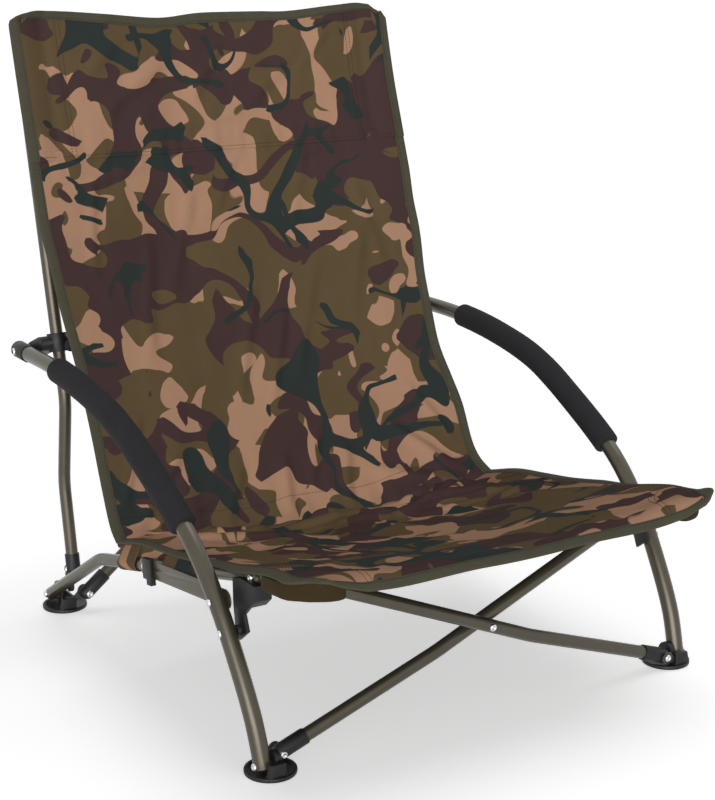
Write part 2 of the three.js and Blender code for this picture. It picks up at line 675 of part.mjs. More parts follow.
// A front foot holds the leg outside its lug, and a steel tab for the front cross inside it.
function buildFrontFoot({ name, sign }) {
  const innerFace = legXAt(legPin.z) - legRadius - seatGap;
  const lugInner = innerFace - lugThickness;
  const ribOuter = lugInner + ribBlock.width;
  const ribFront = -footSpanY - footDiameter / 2 + footRimWidth;
  const tabBehind = sign < 0;
  const layer = tabBehind ? frontLayers.b : frontLayers.a;
  const near = layer + (tabBehind ? 1 : -1) * (ferruleRadius + seatGap);
  const far = near + (tabBehind ? 1 : -1) * tabThickness;
  const [y0, y1] = [Math.min(near, far), Math.max(near, far)];
  const biteX = lugInner + tabBite;
  const frontRibs = ribAcross(sign, lugInner, ribOuter, Math.min(ribFront, y0 - tabGrip), legPin.y - lugRadius,
    ribBlock.height);
  const ribs = [frontRibs];
  if (tabBehind) ribs.push(ribAcross(sign, lugInner, innerFace, legPin.y, y1 + tabGrip, ribBlock.height));
  const tabRoom = mirrorBox(sign, [lugInner - cutOverrun, biteX + seatGap, y0 - seatGap, y1 + seatGap,
    footRimHeight + tabGrip - seatGap, ribBlock.height - tabGrip + seatGap]);
  const legFace = legXAt(legPin.z) + legRadius;
  const start = vec(sign * legFace, legPin.y, legPin.z);
  const inward = vec(-sign, 0, 0);
  const reach = legFace - lugInner;
  const legRoom = mirrorBox(sign, [innerFace, innerFace + footDiameter, legPin.y - legDiameter * 0.75,
    legPin.y + legDiameter * 0.75, footRimHeight, footDiameter]);
  const body = footBody(sign, -footSpanY, legPin, innerFace, ribs);
  addPiece(`foot_front_${name}`, fromSolid(cut(body, tabRoom, legRoom, pinHole(start, inward, reach + cutOverrun))),
    plastic);
  addPiece(`leg_pin_${name}`, closed(pin(start, inward, reach)), zinc);
  const crossStart = vec(sign * frontCross.foot.x, Math.min(y0, layer - ferruleRadius), frontCross.foot.z);
  const crossReach = Math.max(y1, layer + ferruleRadius) - crossStart.y;
  const hole = pinHole(crossStart, vec(0, 1, 0), crossReach + cutOverrun);
  addPiece(`front_foot_tab_${name}`, fromSolid(cut(footTab(sign, frontCross.foot, y0, y1, biteX), hole)), paint);
  addPiece(`front_cross_foot_pin_${name}`, closed(pin(crossStart, vec(0, 1, 0), crossReach)), zinc);
}

// The rear cross tubes' foot pins lean a little, so that the tops keep to their collars as the chair folds.
const rearPinAxis = vec(0, 1, rearPinTilt).normalize();

// A rear foot holds the rail outside its lug, and a steel tab between the two rear cross tubes' planes.
function buildRearFoot({ name, sign }) {
  const innerFace = railXAt(railRearPin.y - lugRadius) - frameRadius - seatGap;
  const lugInner = innerFace - lugThickness;
  const middle = (rearLayers.c + rearLayers.d) / 2;
  const y0 = middle - tabThickness / 2;
  const y1 = middle + tabThickness / 2;
  const biteX = lugInner + tabBite;
  const ribFront = footSpanY - footDiameter / 2 + footRimWidth;
  const ribs = [
    ribAcross(sign, lugInner, lugInner + ribBlock.width, ribFront, ribFront + ribBlock.depth, ribBlock.height),
    ribAcross(sign, lugInner, innerFace, ribFront, railRearPin.y, ribBlock.height),
  ];
  const tabRoom = mirrorBox(sign, [lugInner - cutOverrun, biteX + seatGap, y0 - seatGap, y1 + seatGap,
    footRimHeight + tabGrip - seatGap, ribBlock.height - tabGrip + seatGap]);
  const railFace = railXAt(railRearPin.y) + frameRadius;
  const start = vec(sign * railFace, railRearPin.y, railRearPin.z);
  const inward = vec(-sign, 0, 0);
  const reach = railFace - lugInner;
  const body = footBody(sign, footSpanY, railRearPin, innerFace, ribs);
  addPiece(`foot_rear_${name}`, fromSolid(cut(body, tabRoom, pinHole(start, inward, reach + cutOverrun))), plastic);
  addPiece(`rail_pin_${name}`, closed(pin(start, inward, reach)), zinc);
  const layer = sign < 0 ? rearLayers.c : rearLayers.d;
  const nearEnd = Math.min(y0, layer - ferruleRadius) - tiltRoom - layer;
  const farEnd = Math.max(y1, layer + ferruleRadius) - layer;
  const crossStart = vec(sign * rearCross.foot.x, layer, rearCross.foot.z).addScaledVector(rearPinAxis, nearEnd);
  const hole = pinHole(crossStart, rearPinAxis, farEnd - nearEnd + cutOverrun);
  addPiece(`rear_foot_tab_${name}`, fromSolid(cut(footTab(sign, rearCross.foot, y0, y1, biteX), hole)), paint);
  addPiece(`rear_cross_foot_pin_${name}`, closed(pin(crossStart, rearPinAxis, farEnd - nearEnd)), zinc);
}

// Where a cross tube passes the middle of the chair.
function crossingZ(cross) {
  const share = cross.bend.x / (cross.bend.x + cross.top.x);
  return lerp(cross.bend.z, cross.top.z, share);
}

// One tube of a cross, from its foot on one side to its top on the other, with its foot fitting.
function crossTube(name, cross, sign, y, look, holes, pinAxis) {
  const foot = vec(sign * cross.foot.x, y, cross.foot.z);
  const bend = vec(sign * cross.bend.x, y, cross.bend.z);
  const top = vec(-sign * cross.top.x, y, cross.top.z);
  const direction = bend.clone().sub(foot).normalize();
  const rise = top.clone().sub(bend).normalize();
  const stations = bentStations([foot.clone().addScaledVector(direction, ferruleRadius + seatGap), bend,
    top.clone().addScaledVector(rise, crossTail)], crossBendRadius);
  const back = vec(0, 1, 0);
  const bores = holes.map((point) => pinHole(point.clone().addScaledVector(back, -frameRadius), back,
    frameDiameter + cutOverrun));
  addPiece(`${name}`, fromSolid(cut(toSolid(tube(stations, frameRadius)), ...bores)), look);
  const footBore = pinHole(foot.clone().addScaledVector(pinAxis, -ferruleRadius), pinAxis,
    2 * ferruleRadius + cutOverrun);
  addPiece(`${name}_fitting`, fromSolid(cut(toSolid(ferrule(foot, direction)), footBore)), plastic);
}

// The front cross: tube a runs in front from the left foot, tube b behind it from the right foot.
function buildFrontCross() {
  const middleZ = crossingZ(frontCross);
  [['a', 1], ['b', -1]].forEach(([name, sign]) => {
    const y = frontLayers[name];
    crossTube(`front_cross_${name}`, frontCross, sign, y, paint, [vec(0, y, middleZ),
      vec(-sign * frontCross.top.x, y, frontCross.top.z)], vec(0, 1, 0));
  });
  const start = vec(0, frontLayers.a - frameRadius, middleZ);
  const reach = frontLayers.b - frontLayers.a + frameDiameter;
  const spacer = [frameDiameter + seatGap, reach - frameDiameter - seatGap];
  addPiece('front_cross_pin', closed(pin(start, vec(0, 1, 0), reach, spacer)), zinc);
}

// The rear cross: tube c runs in front from the right foot, tube d behind it from the left foot.
function buildRearCross() {
  const middleZ = crossingZ(rearCross);
  [['c', -1], ['d', 1]].forEach(([name, sign]) => {
    const y = rearLayers[name];
    crossTube(`rear_cross_${name}`, rearCross, sign, y, darkPaint, name === 'c' ? [vec(0, y, middleZ)] : [],
      rearPinAxis);
  });
  const start = vec(0, rearLayers.c - frameRadius, middleZ);
  const reach = rearLayers.d - rearLayers.c - seatGap;
  addPiece('rear_cross_pin', closed(pin(start, vec(0, 1, 0), reach, [frameDiameter + seatGap, reach])), zinc);
}

// The edge of the seat cloth in side view, as shares of the way from its hinge line to its front.
const seatEdgeShares = [[0, 0], [0.133, 0.221], [0.255, 0.326], [0.392, 0.421], [0.56, 0.589], [0.749, 0.768],
  [0.871, 0.905], [1, 1]];
const alongTable = (table, share) => {
  const last = table.length - 2;
  const i = Math.min(last, Math.max(0, table.findIndex(([a]) => a > share) - 1 < 0 ? last
    : table.findIndex(([a]) => a > share) - 1));
  const [a0, b0] = table[i];
  const [a1, b1] = table[i + 1];
  return lerp(b0, b1, (share - a0) / (a1 - a0));
};
const seatEdgeZAt = (y) => {
  const share = (seatHinge.y - y) / (seatHinge.y - seatFront.y);
  return lerp(seatHinge.z, seatFront.z, alongTable(seatEdgeShares, share));
};
const smooth = (share) => {
  const t = Math.min(1, Math.max(0, share));
  return t * t * (3 - 2 * t);
};
const seatLiftAt = (y) => cornerLift * smooth((seatHinge.y - y) / (seatHinge.y - seatFront.y) * 5 - 3);
const seatHalfWidthAt = (share) => lerp(clothHalfWidth - seatTaper, clothHalfWidth, smooth(share * 3.2));

// A hub at each front seat corner: it pins the rail, and its peg holds the top of a cross tube.
function buildHub({ name, sign }) {
  const layer = sign < 0 ? frontLayers.a : frontLayers.b;
  const frontFace = frontLayers.a - frameRadius - seatGap - hubPlate;
  const blockBack = railFrontPin.y - hubBlockBack;
  const { x, z } = frontCross.top;
  const cheek = plateAcrossX(slot([railFrontPin.y, railFrontPin.z], [frontFace + hubCheekRadius, railFrontPin.z],
    hubCheekRadius), sign * cheekInner, sign * cheekOuter);
  const railInner = railXAt(railFrontPin.y) - frameRadius + seatGap;
  const block = box(sign * railInner, sign * cheekOuter, frontFace, blockBack, z - hubHalfHeight, z + hubHalfHeight);
  const pieces = [cheek, block];
  const tubeFront = layer - frameRadius - seatGap;
  const plateShape = slot([sign * x, z], [sign * railInner, z], hubHalfHeight);
  pieces.push(plateAcrossY(plateShape, frontFace, sign < 0 ? tubeFront : blockBack));
  if (sign > 0) pieces.push(rod(vec(x, blockBack - hubPlate, z), vec(x, tubeFront, z), hubHalfHeight));
  const peg = rod(vec(sign * x, tubeFront - hubPlate / 2, z), vec(sign * x, layer + frameRadius - seatGap, z),
    pinRadius, pinSides);
  pieces.push(peg);
  const start = vec(sign * cheekOuter, railFrontPin.y, railFrontPin.z);
  const inward = vec(-sign, 0, 0);
  const reach = hubCheek + seatGap + frameDiameter;
  addPiece(`corner_hub_${name}`, fromSolid(cut(join(...pieces), pinHole(start, inward, hubCheek + cutOverrun))),
    plastic);
  addPiece(`hub_pin_${name}`, closed(pin(start, inward, reach)), zinc);
}

// The pocket's outline from above, as shares of its width and its length.
const pocketShares = [[0, 0], [1, 0], [1, 0.42], [0.87, 0.78], [0.55, 0.96], [0, 1]];
function buildPocket({ name, sign }) {
  const outerX = cheekOuter + rivetHeight + 2 * seatGap + pocketWall;
  const innerX = frontCross.top.x - pocketInset;
  const backY = railFrontPin.y + pocketBack;
  const frontY = railFrontPin.y - pocketFront;
  const plan = (wall) => pocketShares.map(([a, b]) => [
    sign * lerp(innerX - (a === 0 ? wall : 0), outerX - wall, a),
    lerp(backY + wall, frontY + wall, b),
  ]);
  const low = railFrontPin.z - pocketDrop;
  const floorZ = (y) => low + (railFrontPin.y - y) * pocketRise;
  const high = seatFront.z + footDiameter;
  const prism = (points, z0) => {
    const geometry = new THREE.ExtrudeGeometry(outline(points), { depth: high - z0, bevelEnabled: false });
    geometry.translate(0, 0, z0);
    return toSolid(geometry);
  };
  const base = floorZ(backY) - footDiameter;
  const slab = (offset) => toSolid(plateAcrossX(outline([[backY + footSpanY, floorZ(backY + footSpanY) + offset],
    [frontY - footSpanY, floorZ(frontY - footSpanY) + offset], [frontY - footSpanY, high * 2],
    [backY + footSpanY, high * 2]]), -footSpanX * 2, footSpanX * 2));
  const cloths = toSolid(plateAcrossX(outline([...seatEdgeShares.map(([a]) => {
    const y = lerp(seatHinge.y, seatFront.y, a);
    return [y, seatEdgeZAt(y) + seatLiftAt(y) - pocketUnder];
  }), [seatFront.y, high * 2], [seatHinge.y, high * 2]]), -footSpanX * 2, footSpanX * 2));
  const outside = prism(plan(0), base).intersect(slab(0));
  const inside = prism(plan(pocketWall), base).intersect(slab(pocketWall));
  addPiece(`corner_pocket_${name}`, fromSolid(outside.subtract(inside).subtract(cloths)), pocketCloth);
}

// A closed sheet of cloth over a grid: across runs from -1 to 1, along between two places of the sling.
function clothSheet(surface, acrossSteps, alongSteps, from, to) {
  const columns = acrossSteps + 1;
  const rows = alongSteps + 1;
  const stepAcross = 2 / acrossSteps;
  const stepAlong = (to - from) / alongSteps;
  const points = [];
  [1, -1].forEach((sideSign) => {
    for (let j = 0; j < rows; j += 1) {
      for (let i = 0; i < columns; i += 1) {
        const u = i * stepAcross - 1;
        const s = from + j * stepAlong;
        const across = surface(Math.min(1, u + stepAcross), s).sub(surface(Math.max(-1, u - stepAcross), s));
        const along = surface(u, s + stepAlong).sub(surface(u, s - stepAlong));
        const normal = across.cross(along).normalize();
        points.push(...surface(u, s).addScaledVector(normal, sideSign * clothThickness / 2).toArray());
      }
    }
  });
  const half = columns * rows;
  const triangles = [];
  const quad = (a, b, c, d) => triangles.push(a, b, c, a, c, d);
  for (let j = 0; j < alongSteps; j += 1) {
    for (let i = 0; i < acrossSteps; i += 1) {
      const a = j * columns + i;
      quad(a, a + 1, a + 1 + columns, a + columns);
      quad(half + a, half + a + columns, half + a + 1 + columns, half + a + 1);
    }
  }
  for (let i = 0; i < acrossSteps; i += 1) {
    const end = alongSteps * columns + i;
    quad(i, half + i, half + i + 1, i + 1);
    quad(end, end + 1, half + end + 1, half + end);
  }
  for (let j = 0; j < alongSteps; j += 1) {
    const a = j * columns;
    const b = a + acrossSteps;
    quad(a, a + columns, half + a + columns, half + a);
    quad(b, half + b, half + b + columns, b + columns);
  }
  const geometry = new THREE.BufferGeometry();
  geometry.setAttribute('position', new THREE.Float32BufferAttribute(points, 3));
  geometry.setIndex(triangles);
  return geometry;
}

// The seat sags between the rails, drops at its front edge and creases towards the back.
const bowAt = (across) => (1 - across * across) ** seatBow;
const creaseAt = (across) => clothFoldDepth * bowAt(across) * Math.cos(seatFolds * Math.PI * across);
const seatHeight = (across, y) => {
  const share = (y - seatFront.y) / (seatHinge.y - seatFront.y);
  const sag = lerp(seatFrontSag, seatSag, smooth(share)) * bowAt(across);
  return seatEdgeZAt(y) + seatLiftAt(y) * across ** 2 - sag + creaseAt(across) * share ** 3;
};
const seatPoint = (across, share) => {
  const y = lerp(seatFront.y, seatHinge.y, share);
  return vec(across * seatHalfWidthAt(share), y, seatHeight(across, y));
};

// The edge of the back cloth, as shares of the way from the hinge line back to the posts' front, and up.
const backEdgeShares = [[0, 0], [0.1568, 0.021], [0.3618, 0.086], [0.526, 0.167], [0.6484, 0.248], [0.732, 0.33],
  [0.8263, 0.41], [0.9172, 0.507], [0.9831, 0.572], [0.9954, 0.645], [0.9972, 0.734], [1, 1]];
const backSagShares = { top: 0.85, drop: 0.2, fade: 6 };
const postFrontY = (z) => postPoint(1, z).y - sleeveRadius + clothThickness / 2;
const backEdge = new THREE.CatmullRomCurve3(backEdgeShares.map(([a, b]) => {
  const z = lerp(seatHinge.z, backTopZ, b);
  return vec(0, lerp(seatHinge.y, postFrontY(z), a), z);
}), false, 'centripetal');
const backPoint = (across, share) => {
  const point = backEdge.getPointAt(share);
  const sag = backSag * bowAt(across) * Math.sin(Math.PI * backSagShares.top * share);
  const hang = seatSag * bowAt(across) * (1 - share) ** backSagShares.fade;
  const crease = creaseAt(across) * (1 - share) ** (backSagShares.fade - 2);
  return vec(across * clothHalfWidth, point.y + sag, point.z - sag * backSagShares.drop - hang + crease);
};

// Seat and back are one sling: 0 is the seat's front edge, 1 the hinge line and 2 the back's top.
const slingPoint = (across, place) => (place <= 1 ? seatPoint(across, Math.max(0, place))
  : backPoint(across, Math.min(1, place - 1)));
const seatEnd = 1 - slingGap / (seatHinge.y - seatFront.y);
const backStart = 1 + slingGap / backEdge.getLength();

// The cloth is sewn into sleeves that wrap the rails.
const sleeveRunShares = [[0.54, 0.616], [0.28, 0.418]];
function buildSeatCloth() {
  const sheet = clothSheet(slingPoint, seatAcrossSteps, seatAlongSteps, 0, seatEnd);
  let body = toSolid(sheet);
  const bore = frameRadius + seatGap;
  sides.forEach(({ sign }) => sleeveRunShares.forEach((pair) => {
    const [a, b] = pair.map((share) => railPoint(sign, lerp(railFrontPin.y, railRearPin.y, share)));
    const stations = [a, b].map((point) => ({ point, tangent: b.clone().sub(a).normalize() }));
    const middleX = (a.x + b.x) / 2;
    const edgeAcross = Math.min(1, Math.abs(middleX) / clothHalfWidth);
    const web = plateAcrossX(outline([[b.y, b.z + bore], [a.y, a.z + bore], [a.y, seatHeight(edgeAcross, a.y)],
      [b.y, seatHeight(edgeAcross, b.y)]]), middleX - clothThickness, middleX + clothThickness);
    body = body.add(join(tube(stations, bore + sleeveWall), web));
  }));
  const rails = sides.map(({ sign }) => rod(railPoint(sign, railBend.y), railPoint(sign, railFrontPin.y), bore,
    tubeSides));
  addPiece('seat_cloth', fromSolid(cut(body, ...rails)), cloth);
}

// The back's sheet, sewn into sleeves round the posts.
function buildBackCloth() {
  const sheet = clothSheet(slingPoint, backAcrossSteps, backAlongSteps, backStart, 2);
  const sleeveFromZ = backTopZ - sleeveLength;
  const sleeves = sides.map(({ sign }) => rod(postPoint(sign, sleeveFromZ), postPoint(sign, backTopZ),
    sleeveRadius, tubeSides));
  const posts = sides.map(({ sign }) => rod(postPoint(sign, sleeveFromZ - sleeveRadius),
    postPoint(sign, postTop.z + 2 * seatGap), frameRadius + seatGap, tubeSides));
  addPiece('back_cloth', fromSolid(cut(join(sheet, ...sleeves), ...posts)), cloth);
}

sides.forEach((side) => {
  buildFrontFoot(side);
  buildRearFoot(side);
  buildLeg(side);
  buildRail(side);
  buildPost(side);
  buildCollar(side);
  buildBrace(side);
  buildBracket(side);
  buildHub(side);
  buildPocket(side);
});
buildFrontCross();
buildRearCross();
buildSeatCloth();
buildBackCloth();

const bounds = new THREE.Box3().setFromObject(chair);
chair.children.forEach((piece) => piece.geometry.translate(0, -(bounds.min.y + bounds.max.y) / 2, 0));

export default chair;
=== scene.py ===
# %% [markdown]
# # A low folding fishing chair
# The rigid frame comes packed from CAD and never moves here. This notebook dresses it: fine edges and
# finishes on the steel, plastic and foam, and real cloth with seams, tape and stitches for the sling.

import json
import math

import bmesh
import bpy
import numpy as np
from mathutils import Matrix, Vector, noise


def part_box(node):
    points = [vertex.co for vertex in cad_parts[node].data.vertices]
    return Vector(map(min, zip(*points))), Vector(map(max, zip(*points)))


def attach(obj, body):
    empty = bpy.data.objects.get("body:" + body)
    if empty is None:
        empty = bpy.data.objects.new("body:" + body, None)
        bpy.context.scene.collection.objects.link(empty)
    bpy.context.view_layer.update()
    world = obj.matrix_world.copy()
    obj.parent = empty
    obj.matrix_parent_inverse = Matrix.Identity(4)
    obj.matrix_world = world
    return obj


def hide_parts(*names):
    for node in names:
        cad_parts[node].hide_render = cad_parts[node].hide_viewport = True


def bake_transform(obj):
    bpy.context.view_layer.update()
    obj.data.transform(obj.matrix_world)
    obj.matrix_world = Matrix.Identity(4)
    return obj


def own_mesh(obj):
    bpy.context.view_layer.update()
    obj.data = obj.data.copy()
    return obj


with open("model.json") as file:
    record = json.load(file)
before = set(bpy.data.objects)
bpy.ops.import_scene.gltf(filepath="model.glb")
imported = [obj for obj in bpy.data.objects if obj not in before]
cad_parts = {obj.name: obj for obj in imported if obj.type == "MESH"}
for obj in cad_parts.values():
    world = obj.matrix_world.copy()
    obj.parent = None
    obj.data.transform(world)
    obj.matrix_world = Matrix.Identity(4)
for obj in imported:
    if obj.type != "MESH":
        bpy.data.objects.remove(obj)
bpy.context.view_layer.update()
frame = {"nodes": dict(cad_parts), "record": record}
BODY_OF = {node: body for body, nodes in frame["record"]["behaviour"]["bodies"].items() for node in nodes}

# %% [markdown]
# ## Measures
# All sizes of the chair are in millimetres from the middle of its four feet, as on a drawing. One small
# function turns such a point into metres in the model's own frame, whose origin lies a little further back.

# %% Points on the drawing
MM = 0.001
FOOT = 280  # how far each foot stands from the middle, across and along
LEG_LOW, LEG_RISE = 12, 333  # where a leg's middle line starts above the floor, and how far it climbs
LEG_FRONT, LEG_REACH = -284, 606  # where it starts at the front, and how far back its armrest ends
LEG_X, LEG_LEAN = 292, 14.8  # how far out it starts, and how much further out it ends
RAIL_FRONT, RAIL_REAR = -277, 302
RAIL_X, RAIL_LEAN = 289.7, 23  # how far out the rail ends at the rear, and how much it closes in to the front
RAIL_HIGH, RAIL_FALL, RAIL_RUN = 217, 108, 424  # its height at the front, and its fall over a run
SIDES = (("right", -1), ("left", 1))
pad_low, pad_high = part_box("foot_front_left")
FEET_Y = (pad_low.y + pad_high.y) / 2 + FOOT * MM


def at(x, y, z):
    """A point of the drawing, in metres in the model's frame."""
    return Vector((x * MM, y * MM + FEET_Y, z * MM))


def leg_x(z):
    """How far out the middle of the leg stands at a height."""
    return LEG_X + LEG_LEAN * (z - LEG_LOW) / LEG_RISE


def rail_x(y):
    """How far out the middle of the seat rail stands at a depth."""
    return RAIL_X - RAIL_LEAN * (RAIL_REAR - y) / (RAIL_REAR - RAIL_FRONT)


def rail_z(y):
    """How high the seat rail runs at a depth, on its long front part."""
    return RAIL_HIGH - RAIL_FALL * (y - RAIL_FRONT) / RAIL_RUN


print("the feet's middle lies", round(FEET_Y / MM, 2), "mm from the origin")

# %% [markdown]
# ## Small helpers for materials
# A material is a tree of nodes. One helper adds a node with its settings and links, one turns a colour
# that is written as on a screen into the linear light that a renderer adds up.

# %% Material helpers
def give(tree, node, inputs):
    """Sets a node's inputs. A value is either a number or the output of another node."""
    for key, value in inputs.items():
        if isinstance(value, bpy.types.NodeSocket):
            tree.links.new(value, node.inputs[key])
        else:
            node.inputs[key].default_value = value
    return node


def add(tree, kind, inputs=None, **settings):
    """Adds one node with its settings and its inputs."""
    made = tree.nodes.new(kind)
    for name, value in settings.items():
        setattr(made, name, value)
    return give(tree, made, inputs or {})


def linear(code):
    """A hex colour as linear red, green, blue and alpha."""
    shares = [int(code[i:i + 2], 16) / 255 for i in (1, 3, 5)]
    return [s / 12.92 if s <= 0.04045 else ((s + 0.055) / 1.055) ** 2.4 for s in shares] + [1.0]


def start_material(name, roughness, metallic=0.0):
    """A new material with its tree and its shader."""
    material = bpy.data.materials.new(name)
    material.use_nodes = True
    tree = material.node_tree
    shader = give(tree, tree.nodes["Principled BSDF"], {"Roughness": roughness, "Metallic": metallic})
    return material, tree, shader


def math_of(tree, operation, first, second=0.0, third=0.0):
    """The result of one sum on the surface."""
    return add(tree, "ShaderNodeMath", {0: first, 1: second, 2: third}, operation=operation).outputs[0]


def mix_colours(tree, share, low, high):
    """Two colours mixed by a share."""
    made = add(tree, "ShaderNodeMix", {0: share, 6: low, 7: high}, data_type="RGBA")
    return made.outputs[2]


def grain(tree, place, per_metre, detail=2.0, stretch=(1, 1, 1), shift=(0, 0, 0), distortion=0.0):
    """Soft noise whose grains are about a metre divided by per_metre wide."""
    mapped = add(tree, "ShaderNodeMapping", {"Vector": place, "Scale": stretch, "Location": shift})
    inputs = {"Vector": mapped.outputs[0], "Scale": per_metre, "Detail": detail, "Distortion": distortion}
    return add(tree, "ShaderNodeTexNoise", inputs).outputs[0]


def clouded(tree, place, per_metre, dark, light, detail=3):
    """Two close colours, mixed by soft clouds."""
    return mix_colours(tree, grain(tree, place, per_metre, detail), linear(dark), linear(light))


def between(tree, value, low, high):
    """A value from 0 to 1, stretched to lie between two others."""
    return add(tree, "ShaderNodeMapRange", {0: value, 3: low, 4: high}).outputs[0]


def toned(tree, colour, tone):
    """A colour times a grey tone."""
    grey = add(tree, "ShaderNodeCombineColor", {0: tone, 1: tone, 2: tone}).outputs[0]
    inputs = {0: 1.0, 6: colour, 7: grey}
    return add(tree, "ShaderNodeMix", inputs, data_type="RGBA", blend_type="MULTIPLY").outputs[2]


def bumped(tree, shader, height, strength, distance):
    """Gives the shader a relief."""
    inputs = {"Height": height, "Strength": strength, "Distance": distance}
    give(tree, shader, {"Normal": add(tree, "ShaderNodeBump", inputs).outputs[0]})


def object_place(tree):
    """The place on a hard piece, in metres."""
    return add(tree, "ShaderNodeTexCoord").outputs["Object"]


def uv_place(tree):
    """The place on a cloth's flat map, in metres."""
    return add(tree, "ShaderNodeTexCoord").outputs["UV"]


# %% [markdown]
# ## Lacquered steel, zinc, nylon and foam
# The tubes are steel with a metallic olive-brown lacquer: a smooth coat that keeps a faint orange peel and
# shows a long soft highlight. Fittings are black glass-filled nylon, moulded in spark-eroded tools, so they
# are dull with a fine grain. Rivets are bright zinc. The grips are closed-cell foam, quite without gloss.

# %% Hard finishes
def lacquered_steel(name, dark, light, roughness):
    """Metallic lacquer. Slight clouds of colour and a fine orange peel, about 1.5 mm from bump to bump."""
    material, tree, shader = start_material(name, roughness, 0.55)
    place = object_place(tree)
    colour = clouded(tree, place, 45, dark, light)
    give(tree, shader, {"Base Color": colour, "Coat Weight": 0.25, "Coat Roughness": 0.2})
    bumped(tree, shader, grain(tree, place, 700, 1), 0.08, 0.0004)
    return material


def moulded_nylon():
    """Black nylon with faint clouds in its tone and its gloss. The eroded grain is 0.4 mm wide."""
    material, tree, shader = start_material("Black moulded nylon", 0.5)
    place = object_place(tree)
    colour = clouded(tree, place, 60, "#0b0b0d", "#131316")
    rough = between(tree, grain(tree, place, 220, 2), 0.4, 0.6)
    give(tree, shader, {"Base Color": colour, "Roughness": rough, "Specular IOR Level": 0.35})
    bumped(tree, shader, grain(tree, place, 2400, 1), 0.25, 0.0002)
    return material


def closed_cell_foam():
    """Charcoal foam: a skin of tiny cells about 0.8 mm wide, and no gloss."""
    material, tree, shader = start_material("Charcoal closed-cell foam", 0.95)
    place = object_place(tree)
    colour = clouded(tree, place, 35, "#1f1e20", "#2a282b", 4)
    give(tree, shader, {"Base Color": colour, "Specular IOR Level": 0.2})
    cells = add(tree, "ShaderNodeTexVoronoi", {"Vector": place, "Scale": 1300.0}).outputs["Distance"]
    bumped(tree, shader, cells, 0.5, 0.0004)
    return material


def bright_zinc():
    """Zinc plate: bright metal with faint clouds in its gloss."""
    material, tree, shader = start_material("Bright zinc plate", 0.28, 1.0)
    rough = between(tree, grain(tree, object_place(tree), 500, 2), 0.2, 0.4)
    give(tree, shader, {"Base Color": linear("#cfd2d6"), "Roughness": rough})
    return material


PAINT = lacquered_steel("Olive-brown metallic lacquer", "#433d31", "#4f493c", 0.34)
# The same lacquer made darker as painted shade, for the rear crosses in the shade under the seat and for the
# foot tabs at the floor.
SHADED_PAINT = lacquered_steel("Dark olive lacquer", "#39332a", "#443e32", 0.38)
NYLON = moulded_nylon()
FOAM = closed_cell_foam()
ZINC = bright_zinc()
print("hard finishes", [m.name for m in (PAINT, SHADED_PAINT, NYLON, FOAM, ZINC)])

# %% [markdown]
# ## Cloth finishes
# The sling is plain-woven polyester, printed with a generic woodland camouflage: an olive ground, tan and
# plum patches with arms, and dark slate branches over them. A patch is noise above a level. A branch is the
# winding middle line of a noise, as wide as a second noise lets it be, so it swells, forks and breaks off.
# The pattern reads the piece's own flat map in metres, so it keeps its size over every fold. Real threads
# are 0.4 mm apart, too fine to show, so the weave is drawn 1.1 mm apart. The back has a dark coating.

# %% Camouflage and other cloths
EDGE_BLUR = 0.0015
WEAVE_PITCH = 0.0011
RIB_PITCH = 0.0022


def weave(tree, place, pitch):
    """Threads over and under each other, as a height from 0 to 1."""
    split = add(tree, "ShaderNodeSeparateXYZ", {0: place})
    turns = 2 * math.pi / pitch
    across = math_of(tree, "SINE", math_of(tree, "MULTIPLY", split.outputs[0], turns))
    along = math_of(tree, "SINE", math_of(tree, "MULTIPLY", split.outputs[1], turns))
    return math_of(tree, "MULTIPLY_ADD", math_of(tree, "MULTIPLY", across, along), 0.5, 0.5)


def above(tree, value, level):
    """One where the value is above the level, zero below it, with a hair of blur between."""
    return add(tree, "ShaderNodeMapRange", {0: value, 1: level - EDGE_BLUR, 2: level + EDGE_BLUR}).outputs[0]


def away_from_middle(tree, value):
    """How far noise is from its middle value. It is smallest along winding lines."""
    return math_of(tree, "ABSOLUTE", math_of(tree, "SUBTRACT", value, 0.5))


def patches(tree, place, per_metre, level, shift, stretch):
    """Patches with arms: noise above a level, pushed up along the winding lines of a second noise."""
    body = grain(tree, place, per_metre, 1.0, stretch, shift, 0.6)
    lines = grain(tree, place, per_metre * 1.25, 0.4, stretch, [s + 7.3 for s in shift], 0.5)
    push = math_of(tree, "MULTIPLY_ADD", away_from_middle(tree, lines), -0.9, 0.081)
    return above(tree, math_of(tree, "ADD", body, math_of(tree, "MINIMUM", push, 0.055)), level)


def branches(tree, place, per_metre, width, cut, shift, stretch):
    """Winding branches with round ends, no wider than a width, and none where the room is below the cut."""
    lines = away_from_middle(tree, grain(tree, place, per_metre, 0.8, stretch, shift, 0.5))
    room = grain(tree, place, per_metre * 0.9, 1.0, (1, 1, 1), [s + 3.1 for s in shift])
    swell = math_of(tree, "MINIMUM", math_of(tree, "MULTIPLY_ADD", room, 1.3, -1.3 * cut), width)
    return above(tree, math_of(tree, "SUBTRACT", swell, lines), 0.0)


def either(tree, first, second):
    """The larger of two shares."""
    return math_of(tree, "MAXIMUM", first, second)


def woven_finish(tree, shader, place, pitch, colour, sheen):
    """What all the cloths share: threads in relief, a tone with painted shade where the threads lie low and the
    yarn's own slub, and a soft sheen.
    """
    threads = weave(tree, place, pitch)
    slub = grain(tree, place, 260, 3)
    # Darker where the threads lie low, as painted shade between them, and uneven by the yarn's own slub.
    tone = math_of(tree, "MULTIPLY_ADD", math_of(tree, "ADD", threads, slub), 0.1, 0.9)
    give(tree, shader, {"Base Color": toned(tree, colour, tone), "Specular IOR Level": 0.04,
                        "Sheen Weight": sheen, "Sheen Roughness": 0.5})
    bumped(tree, shader, threads, 0.35, 0.0003)


